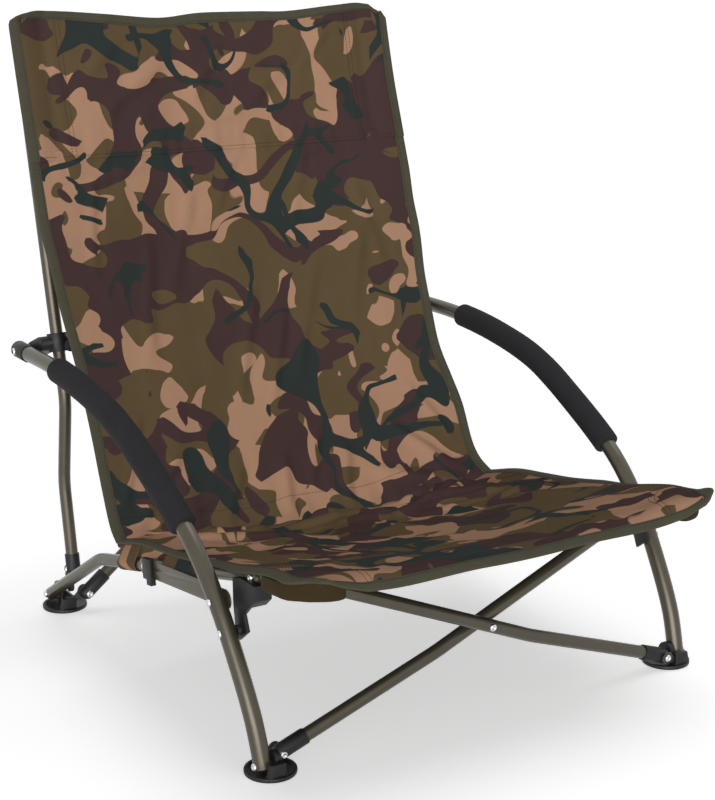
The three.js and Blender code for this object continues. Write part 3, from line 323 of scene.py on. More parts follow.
# Each print over the ground: its colour, then its forms. Patches have the grains per metre, the level, the
# shift and the stretch of their noise. Branches have a width and a cut in place of the level.
PRINTS = [
    ("#a07c64", (10.4, 0.575, (2.1, 5.2, 0.4), (1.0, 1.05, 1)),
     (7.8, 0.07, 0.5, (3.2, 1.1, 7.7), (1.0, 1.0, 1))),
    ("#423231", (10.4, 0.6, (9.4, 1.7, 3.3), (0.95, 1.1, 1)),
     (7.3, 0.055, 0.5, (6.3, 4.9, 1.2), (0.95, 1.1, 1))),
    ("#2d3331", (7.8, 0.036, 0.515, (4.4, 8.8, 6.1), (1.1, 0.9, 1)),
     (9.9, 0.028, 0.54, (1.9, 7.6, 3.4), (0.9, 1.1, 1))),
]


def camouflage_cloth():
    """The printed face: the ground, then the tan, the plum and the slate prints over it."""
    material, tree, shader = start_material("Woodland camouflage polyester", 0.9)
    place = uv_place(tree)
    drift = add(tree, "ShaderNodeTexNoise", {"Vector": place, "Scale": 12.0, "Detail": 1.0})
    pull = add(tree, "ShaderNodeVectorMath", {0: drift.outputs[1], 1: (0.5, 0.5, 0.5)}, operation="SUBTRACT")
    warped = add(tree, "ShaderNodeVectorMath", {0: pull.outputs[0], 1: (0.05, 0.05, 0.05), 2: place},
                 operation="MULTIPLY_ADD").outputs[0]
    colour = clouded(tree, place, 14, "#53452f", "#5d4d38")
    for print_colour, *forms in PRINTS:
        first, second = ((patches if len(form) == 4 else branches)(tree, warped, *form) for form in forms)
        colour = mix_colours(tree, either(tree, first, second), colour, linear(print_colour))
    woven_finish(tree, shader, place, WEAVE_PITCH, colour, 0.0)
    return material


def plain_cloth(name, dark, light, pitch=WEAVE_PITCH, sheen=0.03, roughness=0.8, place_of=uv_place):
    """Cloth of one colour with faint clouds in it."""
    material, tree, shader = start_material(name, roughness)
    place = place_of(tree)
    woven_finish(tree, shader, place, pitch, clouded(tree, place, 25, dark, light), sheen)
    return material


def ribbed_tape():
    """Edge tape: a narrow ribbed ribbon. Its ribs run across it, drawn 2.2 mm apart."""
    material, tree, shader = start_material("Dark olive ribbed tape", 0.8)
    place = uv_place(tree)
    split = add(tree, "ShaderNodeSeparateXYZ", {0: place})
    ribs = math_of(tree, "SINE", math_of(tree, "MULTIPLY", split.outputs[0], 2 * math.pi / RIB_PITCH))
    height = math_of(tree, "MULTIPLY_ADD", ribs, 0.5, 0.5)
    # The tone follows the ribs: painted shade in the grooves and painted light on the crests.
    tone = math_of(tree, "MULTIPLY_ADD", height, 0.25, 0.8)
    colour = toned(tree, clouded(tree, place, 60, "#413e31", "#4c493a"), tone)
    give(tree, shader, {"Base Color": colour, "Specular IOR Level": 0.2})
    bumped(tree, shader, height, 0.6, 0.0005)
    return material


CAMO = camouflage_cloth()
REVERSE = plain_cloth("Coated reverse of the cloth", "#2b2a24", "#35332b", 0.0014, 0.02, 0.7)
POCKET = plain_cloth("Brown-olive polyester", "#332918", "#3c311e", place_of=object_place)
TAPE = ribbed_tape()
THREAD = plain_cloth("Dark sewing thread", "#26251d", "#302f26", 0.0006, 0.02, 0.8, object_place)
print("cloth finishes", [m.name for m in (CAMO, REVERSE, POCKET, TAPE, THREAD)])

# %% [markdown]
# ## Making pieces
# Every new piece becomes an object at the origin with its place in its mesh. Modifiers are baked into the mesh
# before the piece is tied to its body, so that the body moves exactly what the render shows.

# %% Mesh helpers
def show(name, data):
    """An object in the scene, at the origin."""
    made = bpy.data.objects.new(name, data)
    bpy.context.scene.collection.objects.link(made)
    return made


def make_piece(name, points, faces, materials, uv=None):
    """A smooth mesh object from points and faces. uv gives one flat place for each point."""
    mesh = bpy.data.meshes.new(name)
    mesh.from_pydata([tuple(p) for p in points], [], [tuple(f) for f in faces])
    for material in materials:
        mesh.materials.append(material)
    mesh.polygons.foreach_set("use_smooth", [True] * len(mesh.polygons))
    if uv is not None:
        layer = mesh.uv_layers.new(name="flat")
        corners = np.zeros(len(mesh.loops), np.int32)
        mesh.loops.foreach_get("vertex_index", corners)
        layer.data.foreach_set("uv", np.asarray(uv, np.float32)[corners].ravel())
    return show(name, mesh)


def bake(piece):
    """Turns the modifiers into plain mesh."""
    bpy.context.view_layer.update()
    evaluated = piece.evaluated_get(bpy.context.evaluated_depsgraph_get())
    mesh = bpy.data.meshes.new_from_object(evaluated)
    mesh.name = piece.name
    piece.modifiers.clear()
    piece.data = mesh
    return piece


def outward(piece, merge=0.0):
    """Points every face outwards."""
    shape = bmesh.new()
    shape.from_mesh(piece.data)
    if merge:
        bmesh.ops.remove_doubles(shape, verts=shape.verts, dist=merge)
    bmesh.ops.recalc_face_normals(shape, faces=shape.faces)
    shape.to_mesh(piece.data)
    shape.free()
    return piece


def soften(piece, angle=35):
    """Shades smoothly over edges that turn less than an angle."""
    piece.data.polygons.foreach_set("use_smooth", [True] * len(piece.data.polygons))
    piece.data.set_sharp_from_angle(angle=math.radians(angle))
    return piece


def thicken(piece, thickness, side=-1, reverse=0, finer=True):
    """Gives a sheet its thickness on one side, the finish of its reverse and, when finer, rounder folds."""
    wall = piece.modifiers.new("Thickness", "SOLIDIFY")
    wall.thickness = thickness * MM
    wall.offset = side
    wall.material_offset = reverse
    if finer:
        rounder = piece.modifiers.new("Finer", "SUBSURF")
        rounder.levels = rounder.render_levels = 1
    return bake(piece)


def ring_faces(rings, sides):
    """The faces between rings of points, where every ring is closed."""
    pairs = [(i * sides + k, i * sides + (k + 1) % sides) for i in range(rings - 1) for k in range(sides)]
    return [(a, b, b + sides, a + sides) for a, b in pairs]


def run_along(line):
    """How far each point of a line lies from its start, along the line."""
    return np.concatenate([[0], np.cumsum(np.linalg.norm(np.diff(line, axis=0), axis=1))])


def points_at(line, run, places):
    """The points of a line at given distances from its start."""
    return np.stack([np.interp(places, run, column) for column in line.T], axis=1)


def set_up(piece, body, slot, *nodes):
    """Ties a finished piece to its body and hides the CAD nodes that it stands for. Its slot is not used."""
    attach(piece, body)
    if nodes:
        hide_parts(*nodes)
    return piece


# %% [markdown]
# ## The rigid pieces
# A CAD solid arrives as loose flat triangles. Its copy is merged, its flat faces are joined, its sharp edges
# get a small round as on any moulded or cut part, and its curved faces are shaded smoothly.

# %% Dress the rigid nodes
def dress(node, material, slot, edge):
    """A finished copy of a rigid CAD node."""
    mesh = frame["nodes"][node].data.copy()
    mesh.materials.clear()
    mesh.materials.append(material)
    shape = bmesh.new()
    shape.from_mesh(mesh)
    bmesh.ops.remove_doubles(shape, verts=shape.verts, dist=2e-5)
    bmesh.ops.dissolve_limit(shape, angle_limit=math.radians(1), verts=shape.verts, edges=shape.edges)
    shape.to_mesh(mesh)
    shape.free()
    mesh.polygons.foreach_set("material_index", [0] * len(mesh.polygons))
    piece = show(f"{node}_finished", mesh)
    if edge:
        rounder = piece.modifiers.new("Edge", "BEVEL")
        rounder.width = edge * MM
        rounder.segments = 2
        rounder.limit_method = "ANGLE"
        rounder.angle_limit = math.radians(38)
        bake(piece)
    soften(piece)
    return set_up(piece, BODY_OF[node], slot, node)


MOULDED = (NYLON, "moulded_plastic")
PAINTED = (PAINT, "frame_paint")
# The darkened lacquer is painted shade. The rear crosses take it, and so do the foot tabs in place of the frame
# paint.
PAINTED_IN_SHADE = (SHADED_PAINT, "dark_paint")
PAIRED = {
    "foot_front": (*MOULDED, 0.5), "foot_rear": (*MOULDED, 0.5),
    "front_foot_tab": (SHADED_PAINT, "frame_paint", 0.2), "rear_foot_tab": (SHADED_PAINT, "frame_paint", 0.2),
    "seat_rail": (*PAINTED, 0.0), "back_post": (*PAINTED, 0.0), "arm_end_cap": (*MOULDED, 0.4),
    "post_foot_fitting": (*MOULDED, 0.4), "post_collar": (*MOULDED, 0.6),
    "brace_bar": (PAINT, "dark_paint", 0.25), "brace_stop": (*MOULDED, 0.6),
    "rail_bracket": (*MOULDED, 1.2), "corner_hub": (*MOULDED, 0.5),
}
SINGLE = {
    "front_cross_a": (*PAINTED, 0.0), "front_cross_b": (*PAINTED, 0.0),
    "rear_cross_c": (*PAINTED_IN_SHADE, 0.0), "rear_cross_d": (*PAINTED_IN_SHADE, 0.0),
    "front_cross_a_fitting": (*MOULDED, 0.4), "front_cross_b_fitting": (*MOULDED, 0.4),
    "rear_cross_c_fitting": (*MOULDED, 0.4), "rear_cross_d_fitting": (*MOULDED, 0.4),
}
for stem, (material, slot_name, edge) in PAIRED.items():
    for side, sign in SIDES:
        dress(f"{stem}_{side}", material, slot_name, edge)
for node, (material, slot_name, edge) in SINGLE.items():
    dress(node, material, slot_name, edge)
print("dressed", 2 * len(PAIRED) + len(SINGLE), "rigid nodes")

# %% [markdown]
# ## The leg tubes and their foam grips
# Each side's leg and armrest is one bent steel tube. Its long curve shows its facets most, so it is swept
# afresh along the same route with many rings, and the foam sleeve is swept over it with rounded ends.

# %% Sweep the legs
LEG_RINGS = 90
LEG_RADIUS, GRIP_RADIUS = 10, 16
GRIP_FRONT, GRIP_REAR = -130, 211
LEG_ROUTE = [(0, 0), (0.0248, 0.141), (0.0776, 0.315), (0.142, 0.4835), (0.231, 0.643),
             (0.386, 0.808), (0.518, 0.916), (0.663, 0.973), (0.817, 1), (1, 1)]


def smooth_line(points, count):
    """Equally spaced points on a smooth curve through the given points (Catmull-Rom, centripetal)."""
    given = [np.asarray(p, float) for p in points]
    given = [2 * given[0] - given[1]] + given + [2 * given[-1] - given[-2]]
    fine = []
    for p0, p1, p2, p3 in zip(given, given[1:], given[2:], given[3:]):
        t0 = 0.0
        t1 = t0 + np.linalg.norm(p1 - p0) ** 0.5
        t2 = t1 + np.linalg.norm(p2 - p1) ** 0.5
        t3 = t2 + np.linalg.norm(p3 - p2) ** 0.5
        for t in np.linspace(t1, t2, 24, endpoint=False):
            a1 = (t1 - t) / (t1 - t0) * p0 + (t - t0) / (t1 - t0) * p1
            a2 = (t2 - t) / (t2 - t1) * p1 + (t - t1) / (t2 - t1) * p2
            a3 = (t3 - t) / (t3 - t2) * p2 + (t - t2) / (t3 - t2) * p3
            b1 = (t2 - t) / (t2 - t0) * a1 + (t - t0) / (t2 - t0) * a2
            b2 = (t3 - t) / (t3 - t1) * a2 + (t - t1) / (t3 - t1) * a3
            fine.append((t2 - t) / (t2 - t1) * b1 + (t - t1) / (t2 - t1) * b2)
    fine.append(given[-2])
    fine = np.array(fine)
    run = run_along(fine)
    return points_at(fine, run, np.linspace(0, run[-1], count))


def leg_line(sign):
    """The middle line of a leg and its armrest, carried on a little at both ends."""
    points = []
    for a, b in LEG_ROUTE:
        z = LEG_LOW + LEG_RISE * b
        points.append((sign * leg_x(z), LEG_FRONT + LEG_REACH * a, z))
    down = np.array(points[1]) - np.array(points[0])
    points.insert(0, tuple(np.array(points[0]) - 4 * down / np.linalg.norm(down)))
    points.append((points[-1][0], points[-1][1] + 10, points[-1][2]))
    return smooth_line(points, LEG_RINGS)


def sweep(name, line, radii, material, sides=40):
    """Rings round a line. radii gives one radius for each ring, and the two ends are closed flat."""
    tangents = np.gradient(line, axis=0)
    tangents /= np.linalg.norm(tangents, axis=1)[:, None]
    lift = np.array([1.0, 0.0, 0.0])
    points = []
    for centre, tangent, radius in zip(line, tangents, radii):
        side = np.cross(tangent, lift)
        side /= np.linalg.norm(side)
        up = np.cross(side, tangent)
        for k in range(sides):
            angle = 2 * math.pi * k / sides
            points.append(at(*(centre + radius * (math.cos(angle) * side + math.sin(angle) * up))))
    faces = ring_faces(len(line), sides)
    faces.append(tuple(range(sides)))
    faces.append(tuple(reversed(range(len(points) - sides, len(points)))))
    piece = outward(make_piece(name, points, faces, [material]))
    return soften(piece, 30)


def rounded_run(line, radius, corner):
    """A line and its radii, with extra rings that round both ends."""
    run = run_along(line)
    turns = np.radians([0, 22.5, 45, 67.5, 90])
    head = corner * (1 - np.sin(turns))[::-1]
    head_r = radius - corner * (1 - np.cos(turns))[::-1]
    inner = run[(run > corner * 1.2) & (run < run[-1] - corner * 1.2)]
    places = np.concatenate([head, inner, run[-1] - head[::-1]])
    radii = np.concatenate([head_r, [radius] * len(inner), head_r[::-1]])
    return points_at(line, run, places), radii


for side, sign in SIDES:
    line = leg_line(sign)
    tube_line, tube_radii = rounded_run(line, LEG_RADIUS, 0.8)
    leg = sweep(f"leg_tube_{side}", tube_line, tube_radii, PAINT)
    set_up(leg, f"leg_{side}", "frame_paint", f"leg_arm_{side}")
    grip = line[(line[:, 1] > GRIP_FRONT) & (line[:, 1] < GRIP_REAR)]
    grip_line, grip_radii = rounded_run(grip, GRIP_RADIUS, 3)
    dents = [0.35 * noise.noise(Vector((p[1] / 40, sign * 3, p[2] / 40))) for p in grip_line]
    foam = sweep(f"foam_grip_{side}", grip_line, np.array(grip_radii) + dents, FOAM, 48)
    set_up(foam, f"leg_{side}", "grip_foam", f"arm_foam_{side}")
print("legs and grips swept with", len(tube_line), "and", len(grip_line), "rings")

# %% [markdown]
# ## Round pads
# The CAD pad is a polygon with few sides, to keep the solid light. A finely turned pad, a little proud of
# it, gives the foot its round rim, its shallow dish and its rounded edge.

# %% Turn the pads
PAD_PROFILE = [(0, 0), (28.3, 0), (28.9, 0.25), (29.15, 0.8), (29.15, 3.7), (28.9, 4.3), (28.2, 4.65),
               (25.4, 4.65), (24.6, 4.4), (23.2, 3.25), (22.4, 3.1), (0, 3.1)]


def turn(name, profile, centre, material, sides=72):
    """A profile of radius and height turned about the upright line through a point."""
    points = []
    for radius, height in profile:
        for k in range(sides):
            angle = 2 * math.pi * k / sides
            spot = Vector((radius * math.cos(angle), radius * math.sin(angle), height)) * MM
            points.append(Vector(centre) + spot)
    return outward(make_piece(name, points, ring_faces(len(profile), sides), [material]), 1e-6)


for end, y in (("front", -FOOT), ("rear", FOOT)):
    for side, sign in SIDES:
        pad = turn(f"pad_{end}_{side}", PAD_PROFILE, at(sign * FOOT, y, 0), NYLON)
        set_up(soften(pad, 40), BODY_OF[f"foot_{end}_{side}"], "moulded_plastic")
print("four pads turned")

# %% [markdown]
# ## Rivets
# Every pivot is a zinc rivet with a dimpled domed head. One head is turned once, and Geometry Nodes set a
# copy on every point of a small cloud, each turned to its own direction. Where the head stands and where it
# looks are stored on the points. There is one cloud for each body, so that the rivets move with it.

# %% A rivet head and the tree that sets it
HEAD_PROFILE = [(0, 1.05), (0.9, 1.05), (1.5, 1.25), (1.9, 1.9), (2.3, 2.15), (2.9, 2.15), (3.6, 1.85),
                (4.2, 1.2), (4.5, 0.4), (4.5, -0.3), (2.6, -0.3), (2.6, -3.0), (0, -3.0)]
rivet_head = turn("rivet_head", HEAD_PROFILE, (0, 0, 0), ZINC, 28)
soften(rivet_head, 50)


def start_tree(name, sockets):
    """A Geometry Nodes tree with named inputs. It returns the tree, its input node and its output node."""
    tree = bpy.data.node_groups.new(name, "GeometryNodeTree")
    tree.interface.new_socket("Geometry", in_out="INPUT", socket_type="NodeSocketGeometry")
    for label, kind in sockets:
        tree.interface.new_socket(label, in_out="INPUT", socket_type=kind)
    tree.interface.new_socket("Geometry", in_out="OUTPUT", socket_type="NodeSocketGeometry")
    return tree, tree.nodes.new("NodeGroupInput"), tree.nodes.new("NodeGroupOutput")


def set_copies(tree, points, template, direction, axis, material, end):
    """Sets a copy on every point, its axis along a direction, then realizes and paints the copies."""
    turned = add(tree, "FunctionNodeAlignRotationToVector", {"Vector": direction}, axis=axis)
    inputs = {"Points": points, "Instance": template, "Rotation": turned.outputs[0]}
    placed = add(tree, "GeometryNodeInstanceOnPoints", inputs)
    real = add(tree, "GeometryNodeRealizeInstances", {"Geometry": placed.outputs[0]})
    painted = add(tree, "GeometryNodeSetMaterial", {"Geometry": real.outputs[0], "Material": material})
    tree.links.new(painted.outputs[0], end.inputs[0])


def run_tree(piece, tree, values):
    """Gives a piece the tree as a modifier with its inputs, and bakes it."""
    modifier = piece.modifiers.new(tree.name, "NODES")
    modifier.node_group = tree
    for item in tree.interface.items_tree:
        if item.in_out == "INPUT" and item.name in values:
            modifier[item.identifier] = values[item.name]
    return bake(piece)


rivet_tree, start, end = start_tree("Set rivet heads", [
    ("Head", "NodeSocketObject"), ("Finish", "NodeSocketMaterial")])
aim = add(rivet_tree, "GeometryNodeInputNamedAttribute", {"Name": "aim"}, data_type="FLOAT_VECTOR")
template = add(rivet_tree, "GeometryNodeObjectInfo", {"Object": start.outputs["Head"]})
set_copies(rivet_tree, start.outputs["Geometry"], template.outputs["Geometry"], aim.outputs[0], "Z",
           start.outputs["Finish"], end)
print("rivet head has", len(rivet_head.data.polygons), "faces")

# %% Where the rivets stand
X_PINS = ["leg_pin", "rail_pin", "post_pin", "brace_pin", "bracket_pin", "hub_pin"]
Y_PINS = ["front_cross_foot_pin_right", "front_cross_foot_pin_left", "front_cross_pin",
          "rear_cross_foot_pin_right", "rear_cross_foot_pin_left", "rear_cross_pin"]
HEAD_RISE = 2.3  # how far a CAD pin's head stands up from the metal
rivets = {}


def add_rivet(body, place, aim_at, node=None):
    """Notes one rivet: where its face touches the metal, which way it looks and the node it replaces."""
    rivets.setdefault(body, []).append((Vector(place), Vector(aim_at).normalized(), node))


for stem in X_PINS:
    for side, sign in SIDES:
        node = f"{stem}_{side}"
        low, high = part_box(node)
        looks = -sign if stem == "post_pin" else sign
        face = (high.x if looks > 0 else low.x) - looks * HEAD_RISE * MM
        add_rivet(BODY_OF[node], (face, (low.y + high.y) / 2, (low.z + high.z) / 2), (looks, 0, 0), node)
for node in Y_PINS:
    low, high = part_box(node)
    face = low.y + HEAD_RISE * MM
    add_rivet(BODY_OF[node], ((low.x + high.x) / 2, face, (low.z + high.z) / 2), (0, -1, 0), node)
# Rivets that no CAD pin stands for: the start of the body's name, then place and direction on the left.
LOOSE_RIVETS = [("leg", (leg_x(172) + LEG_RADIUS, -199, 172), (1, 0)),
                ("leg", (leg_x(345) + 11.3, 322, 345), (1, 0)),
                ("rail", (rail_x(-234) + 8, -234, rail_z(-234)), (1, 0)),
                ("post", (278.2, 272.7, 53.6), (0.87, 0.5))]
for side, sign in SIDES:
    for stem, (x, y, z), (out, back) in LOOSE_RIVETS:
        add_rivet(f"{stem}_{side}", at(sign * x, y, z), (sign * out, back, 0))

# %% Set the rivets
for body, places in rivets.items():
    cloud = make_piece(f"rivets_{body}", [p for p, a, n in places], [], [ZINC])
    looks = cloud.data.attributes.new("aim", "FLOAT_VECTOR", "POINT")
    looks.data.foreach_set("vector", np.array([a for p, a, n in places], np.float32).ravel())
    run_tree(cloud, rivet_tree, {"Head": rivet_head, "Finish": ZINC})
    set_up(soften(cloud, 50), body, "zinc_rivet", *[n for p, a, n in places if n])
bpy.data.objects.remove(rivet_head)
print("rivet clouds set")

# %% [markdown]
# ## The sling
# Seat and back are one continuous sling between the rails and the posts. Its side edges follow the drawing;
# between them the cloth sags, and it creases where seat and back meet. A grid of about 5 mm follows that
# surface, and folds are pressed into it along its normals: soft waves, and sharp creases that run out from
# the corners, as weight and stitching leave them.

# %% The surface of the sling
HALF = 280.0  # half the sling's width
SEAT_EDGE = [(-366, 250), (-350, 246), (-317, 235.5), (-283, 230.5), (-250.8, 222.5), (-214, 212.5),
             (-164, 201), (-86.9, 184), (-24, 174), (32, 165), (93, 147)]
BACK_EDGE = [(93, 147), (115, 160), (147.1, 200), (177.8, 250), (205.2, 300), (228.3, 350.6), (255.3, 400),
             (286, 459.8), (309.1, 500), (322.4, 545), (335.6, 599.9), (374.8, 764)]
seat_line = smooth_line(SEAT_EDGE, 240)
back_line = smooth_line(BACK_EDGE, 360)
back_run = run_along(back_line)
BACK_LENGTH = back_run[-1]
SEAM_HEIGHT = 590  # of the cross seam above the floor
SEAM_AT = float(np.interp(SEAM_HEIGHT, back_line[:, 1], back_run))


def eased(share):
    """A share from 0 to 1 that starts and ends gently."""
    t = np.clip(share, 0, 1)
    return t * t * (3 - 2 * t)


SEAT_FRONT = -366.0
SEAT_DEPTH = 459.0
SEAT_FRONT_HALF, SEAT_WIDENING = 266, 17
SEAT_CORNER, BACK_CORNER = 10.0, 12.0
FRONT_ROLL = 36.0
SIDE_ROLL = 4
DROOP = 8
SEAT_SAG, SEAT_REAR_SAG = 19, 5  # in the middle of the cloth, and how much more at its rear
BACK_SAG, BACK_HANG = 22, 24  # towards the rear, and down beside the crease
CREASE = 5
SWAY_RIGHT = [(0, 4), (90, -4), (180, -8), (330, -3.5), (460, -1.5), (590, 2), (691, 4)]
SWAY_LEFT = [(0, 2), (45, -3), (107, 1.5), (150, -3), (205, -10), (295, -5), (367, 6), (442, 12), (514, 8),
             (590, 3), (691, 1)]
TOP_SWAY = [(-281, 1.5), (-257, 7), (-213, 6), (-143, 0.5), (-71, -5), (-12, 0), (80, 0), (128, -1), (209, 5),
            (250, 7), (270, 2.5), (281, -6)]
sway_right, sway_left, top_sway = (smooth_line(table, 80) for table in (SWAY_RIGHT, SWAY_LEFT, TOP_SWAY))


def round_off(ahead, corner):
    """How far a rounded corner draws an edge in, at a distance from the corner's end."""
    return corner - np.sqrt(np.maximum(corner ** 2 - np.maximum(corner - ahead, 0) ** 2, 0))


def seat_half(share):
    """Half the seat's width: full at the back, narrower at the front, with rounded front corners."""
    ahead = share * SEAT_DEPTH
    return SEAT_FRONT_HALF + SEAT_WIDENING * eased((ahead - 10) / 45) - round_off(ahead, SEAT_CORNER)


def front_roll(x, ahead):
    """How far the front strip rolls down. It rolls less towards its ends, and each end has its own curve."""
    out = np.abs(x)
    far = 8.5 * eased((out - 215) / 45) + 15 * eased((out - 250) / 17)
    near = 15.5 * eased((out - 200) / 52) + 8 * eased((out - 236) / 30)
    depth = 13 + 10.5 * eased((out - 60) / 140) - np.where(x < 0, near, far)
    return depth * np.clip(1 - ahead / FRONT_ROLL, 0, 1) ** 2


def near_droop(u, ahead):
    """How far the right front corner droops below the left one."""
    return DROOP * eased((70 - ahead) / 60) * eased((-u - 0.75) / 0.25)


def side_roll(u, ahead):
    """How far the side strip hangs down outside the rail, in front of the legs."""
    reach = eased((ahead - 12) / 40) * eased((SEAT_DEPTH / 2 - ahead) / 80)
    return SIDE_ROLL * reach * np.clip((np.abs(u) - 0.96) / 0.04, 0, 1) ** 1.2


def bowed(u):
    """One in the middle of the cloth and nothing at its sides, as the cloth bows between its tubes."""
    return (1 - np.minimum(u * u, 1)) ** 1.3


def seat_surface(u, share):
    """Points of the seat: u runs across from -1 to 1, share from the front edge to the crease."""
    y = SEAT_FRONT + SEAT_DEPTH * share
    bow = bowed(u)
    sag = (SEAT_SAG + SEAT_REAR_SAG * eased(share)) * bow
    crease = CREASE * bow * np.cos(3 * np.pi * u) * share ** 3
    x = u * seat_half(share)
    ahead = y - SEAT_FRONT
    z = np.interp(y, seat_line[:, 0], seat_line[:, 1]) - sag + crease
    return np.stack([x, y, z - front_roll(x, ahead) - side_roll(u, ahead) - near_droop(u, ahead)], axis=-1)


def seat_top(u, share):
    """How high the seat stands at one place."""
    return float(seat_surface(np.array(u), np.array(share))[2])


def back_half(u, run):
    """Half the back's width on either side. Its free edges sway a little between the rail and the sleeve."""
    sway = np.where(u < 0, np.interp(run, *sway_right.T), np.interp(run, *sway_left.T))
    return HALF + sway - round_off(BACK_LENGTH - run, BACK_CORNER)


def back_surface(u, run):
    """Points of the back: run is the distance from the crease along its side edge."""
    share = run / BACK_LENGTH
    y = np.interp(run, back_run, back_line[:, 0])
    z = np.interp(run, back_run, back_line[:, 1])
    bow = bowed(u)
    sag = BACK_SAG * bow * np.sin(np.pi * 0.85 * share)
    hang = BACK_HANG * bow * (1 - share) ** 6
    crease = CREASE * bow * np.cos(3 * np.pi * u) * (1 - share) ** 4
    rise = np.interp(u * HALF, *top_sway.T) * eased((share - 0.8) / 0.2)
    z = z - 0.2 * sag - hang + crease + rise
    return np.stack([u * back_half(u, run), y + sag + 0.2 * rise, z], axis=-1)


print("the back's side edge is", round(BACK_LENGTH), "mm long, its seam lies at", round(SEAM_AT))

# %% Folds in the cloth
def fold(x, h, x0, h0, x1, h1, depth, width):
    """A crease between two places of the flat cloth, as a height. It fades at its ends."""
    dx, dh = x1 - x0, h1 - h0
    length = math.hypot(dx, dh)
    along = ((x - x0) * dx + (h - h0) * dh) / length ** 2
    off = ((x - x0) * dh - (h - h0) * dx) / length
    fade = eased(np.minimum(along, 1 - along) * 4)
    return depth * fade * (np.exp(-(off / width) ** 2) - 0.45 * np.exp(-((off - 1.7 * width) / width) ** 2))


def waves(x, h, wide, long, seed):
    """Soft waves, wide across and long along the cloth."""
    flat = zip(np.ravel(x) / wide, np.ravel(h) / long)
    return np.array([noise.noise(Vector((a, b, seed))) for a, b in flat]).reshape(np.shape(x))


BACK_FOLDS = [
    (-255, 12, -150, 120, 3.2, 7), (-262, 40, -205, 170, 2.4, 6), (-230, 6, -90, 70, 3.0, 8),
    (255, 12, 150, 110, 3.2, 7), (262, 45, 200, 160, 2.2, 6), (225, 6, 95, 60, 2.6, 8),
    (-130, 10, -70, 95, 2.6, 9), (-30, 6, -8, 100, 2.4, 8), (60, 8, 90, 100, 2.6, 9), (10, 30, 60, 130, 1.8, 6),
    (-60, 150, 20, 330, 2.2, 9), (-10, 140, 60, 300, 1.8, 7), (40, 170, 120, 350, 1.8, 8),
    (-180, 210, -120, 420, 1.8, 10), (150, 240, 205, 430, 1.8, 9), (-225, 330, -190, 500, 1.6, 7),
    (-120, 300, -40, 470, 1.6, 9), (90, 380, 130, 520, 1.4, 8), (220, 300, 190, 470, 1.6, 8),
    (-20, 420, 30, 508, 1.5, 7), (-215, 470, -90, 500, 1.5, 6), (60, 480, 180, 506, 1.4, 6),
    (-175, 560, -60, 640, 1.8, 10), (-40, 570, 20, 660, 1.6, 9), (40, 560, 140, 650, 1.8, 11),
    (120, 600, 190, 670, 1.6, 8), (-200, 600, -120, 670, 1.4, 8), (-100, 535, 60, 560, 1.2, 7),
]
FOLD_GAIN = 1.5
SEAT_REAR_GAIN = 1.9
SEAT_FOLDS = [
    (-250, 440, -120, 400, 3.0, 7), (-240, 452, -60, 430, 2.6, 6), (250, 440, 130, 395, 3.0, 7),
    (240, 452, 70, 428, 2.4, 6), (-30, 446, 60, 418, 2.4, 7), (-160, 420, -20, 380, 2.0, 8),
    (150, 400, 20, 350, 2.0, 9), (-230, 300, -120, 330, 1.6, 9), (220, 290, 120, 320, 1.6, 9),
    (-225, 60, -170, 120, 2.0, 7), (-190, 30, -130, 70, 1.8, 7), (225, 60, 170, 120, 2.0, 7),
    (190, 30, 130, 70, 1.8, 7), (-100, 150, 40, 190, 1.4, 12), (60, 90, 180, 150, 1.4, 11),
    (-150, 425, 250, 385, 4.0, 9), (-60, 400, 255, 345, 3.2, 10), (-200, 445, 160, 440, 4.0, 7),
    (40, 372, 262, 300, 2.4, 10), (-255, 400, -60, 352, 2.4, 9),
]


def relief(x, h, folds, seed, crease_side):
    """The whole relief of a panel. crease_side is the distance from the crease between seat and back."""
    everywhere, near, at_seam = 1.0, np.exp(-crease_side / 60), np.exp(-np.abs(h - SEAM_AT) / 26)
    height = 0.0
    for where, size, wide, long, shift in (
            (everywhere, 3.0, 150, 230, 0), (everywhere, 2.4, 52, 150, 4.2), (everywhere, 0.9, 21, 85, 6.6),
            (near, 6.5, 42, 90, 8.1), (near, 3.0, 18, 45, 2.2), (at_seam, 2.6, 13, 60, 9.7)):
        height = height + where * size * waves(x, h, wide, long, seed + shift)
    for line in folds:
        height = height + FOLD_GAIN * fold(x, h, *line)
    return height


print("folds", len(BACK_FOLDS), "in the back and", len(SEAT_FOLDS), "in the seat")

# %% [markdown]
# ## Panels
# One function lays a grid over a surface and presses the relief into it. A Solidify modifier gives the
# cloth its thickness and its coated reverse, and Subdivision Surface rounds the folds. The sling has three
# panels, as sewn: the seat, the lower back, and a doubled upper back that slips over the posts.

# %% Grids and normals
ACROSS = 104


def grid_faces(rows, columns):
    """The faces of a grid of points."""
    return [(j * columns + i, j * columns + i + 1, (j + 1) * columns + i + 1, (j + 1) * columns + i)
            for j in range(rows - 1) for i in range(columns - 1)]


def normals_of(points):
    """The unit normals of a grid of points, towards the sitter."""
    across = np.gradient(points, axis=1)
    along = np.gradient(points, axis=0)
    normal = np.cross(across, along)
    return normal / np.linalg.norm(normal, axis=-1)[..., None]


def panel_points(surface, places, folds, seed, flat_run, edge_power=10, scale=1.0):
    """A panel's points, the height of its relief and its flat map, all in millimetres."""
    u = np.linspace(-1, 1, ACROSS + 1)
    grid_u, grid_s = np.meshgrid(u, places)
    points = surface(grid_u, grid_s)
    flat_x = grid_u * HALF
    flat_h = np.repeat(flat_run[:, None], ACROSS + 1, axis=1)
    crease_side = flat_h if seed != SEAT_SEED else SEAT_RUN - flat_h
    height = relief(flat_x, flat_h, folds, seed, np.maximum(crease_side, 0))
    return points, height * (1 - np.abs(grid_u) ** edge_power) * scale, flat_x, flat_h


SEAT_SEED, BACK_SEED = 1.7, 6.3
SEAT_RUN = float(run_along(seat_line)[-1])


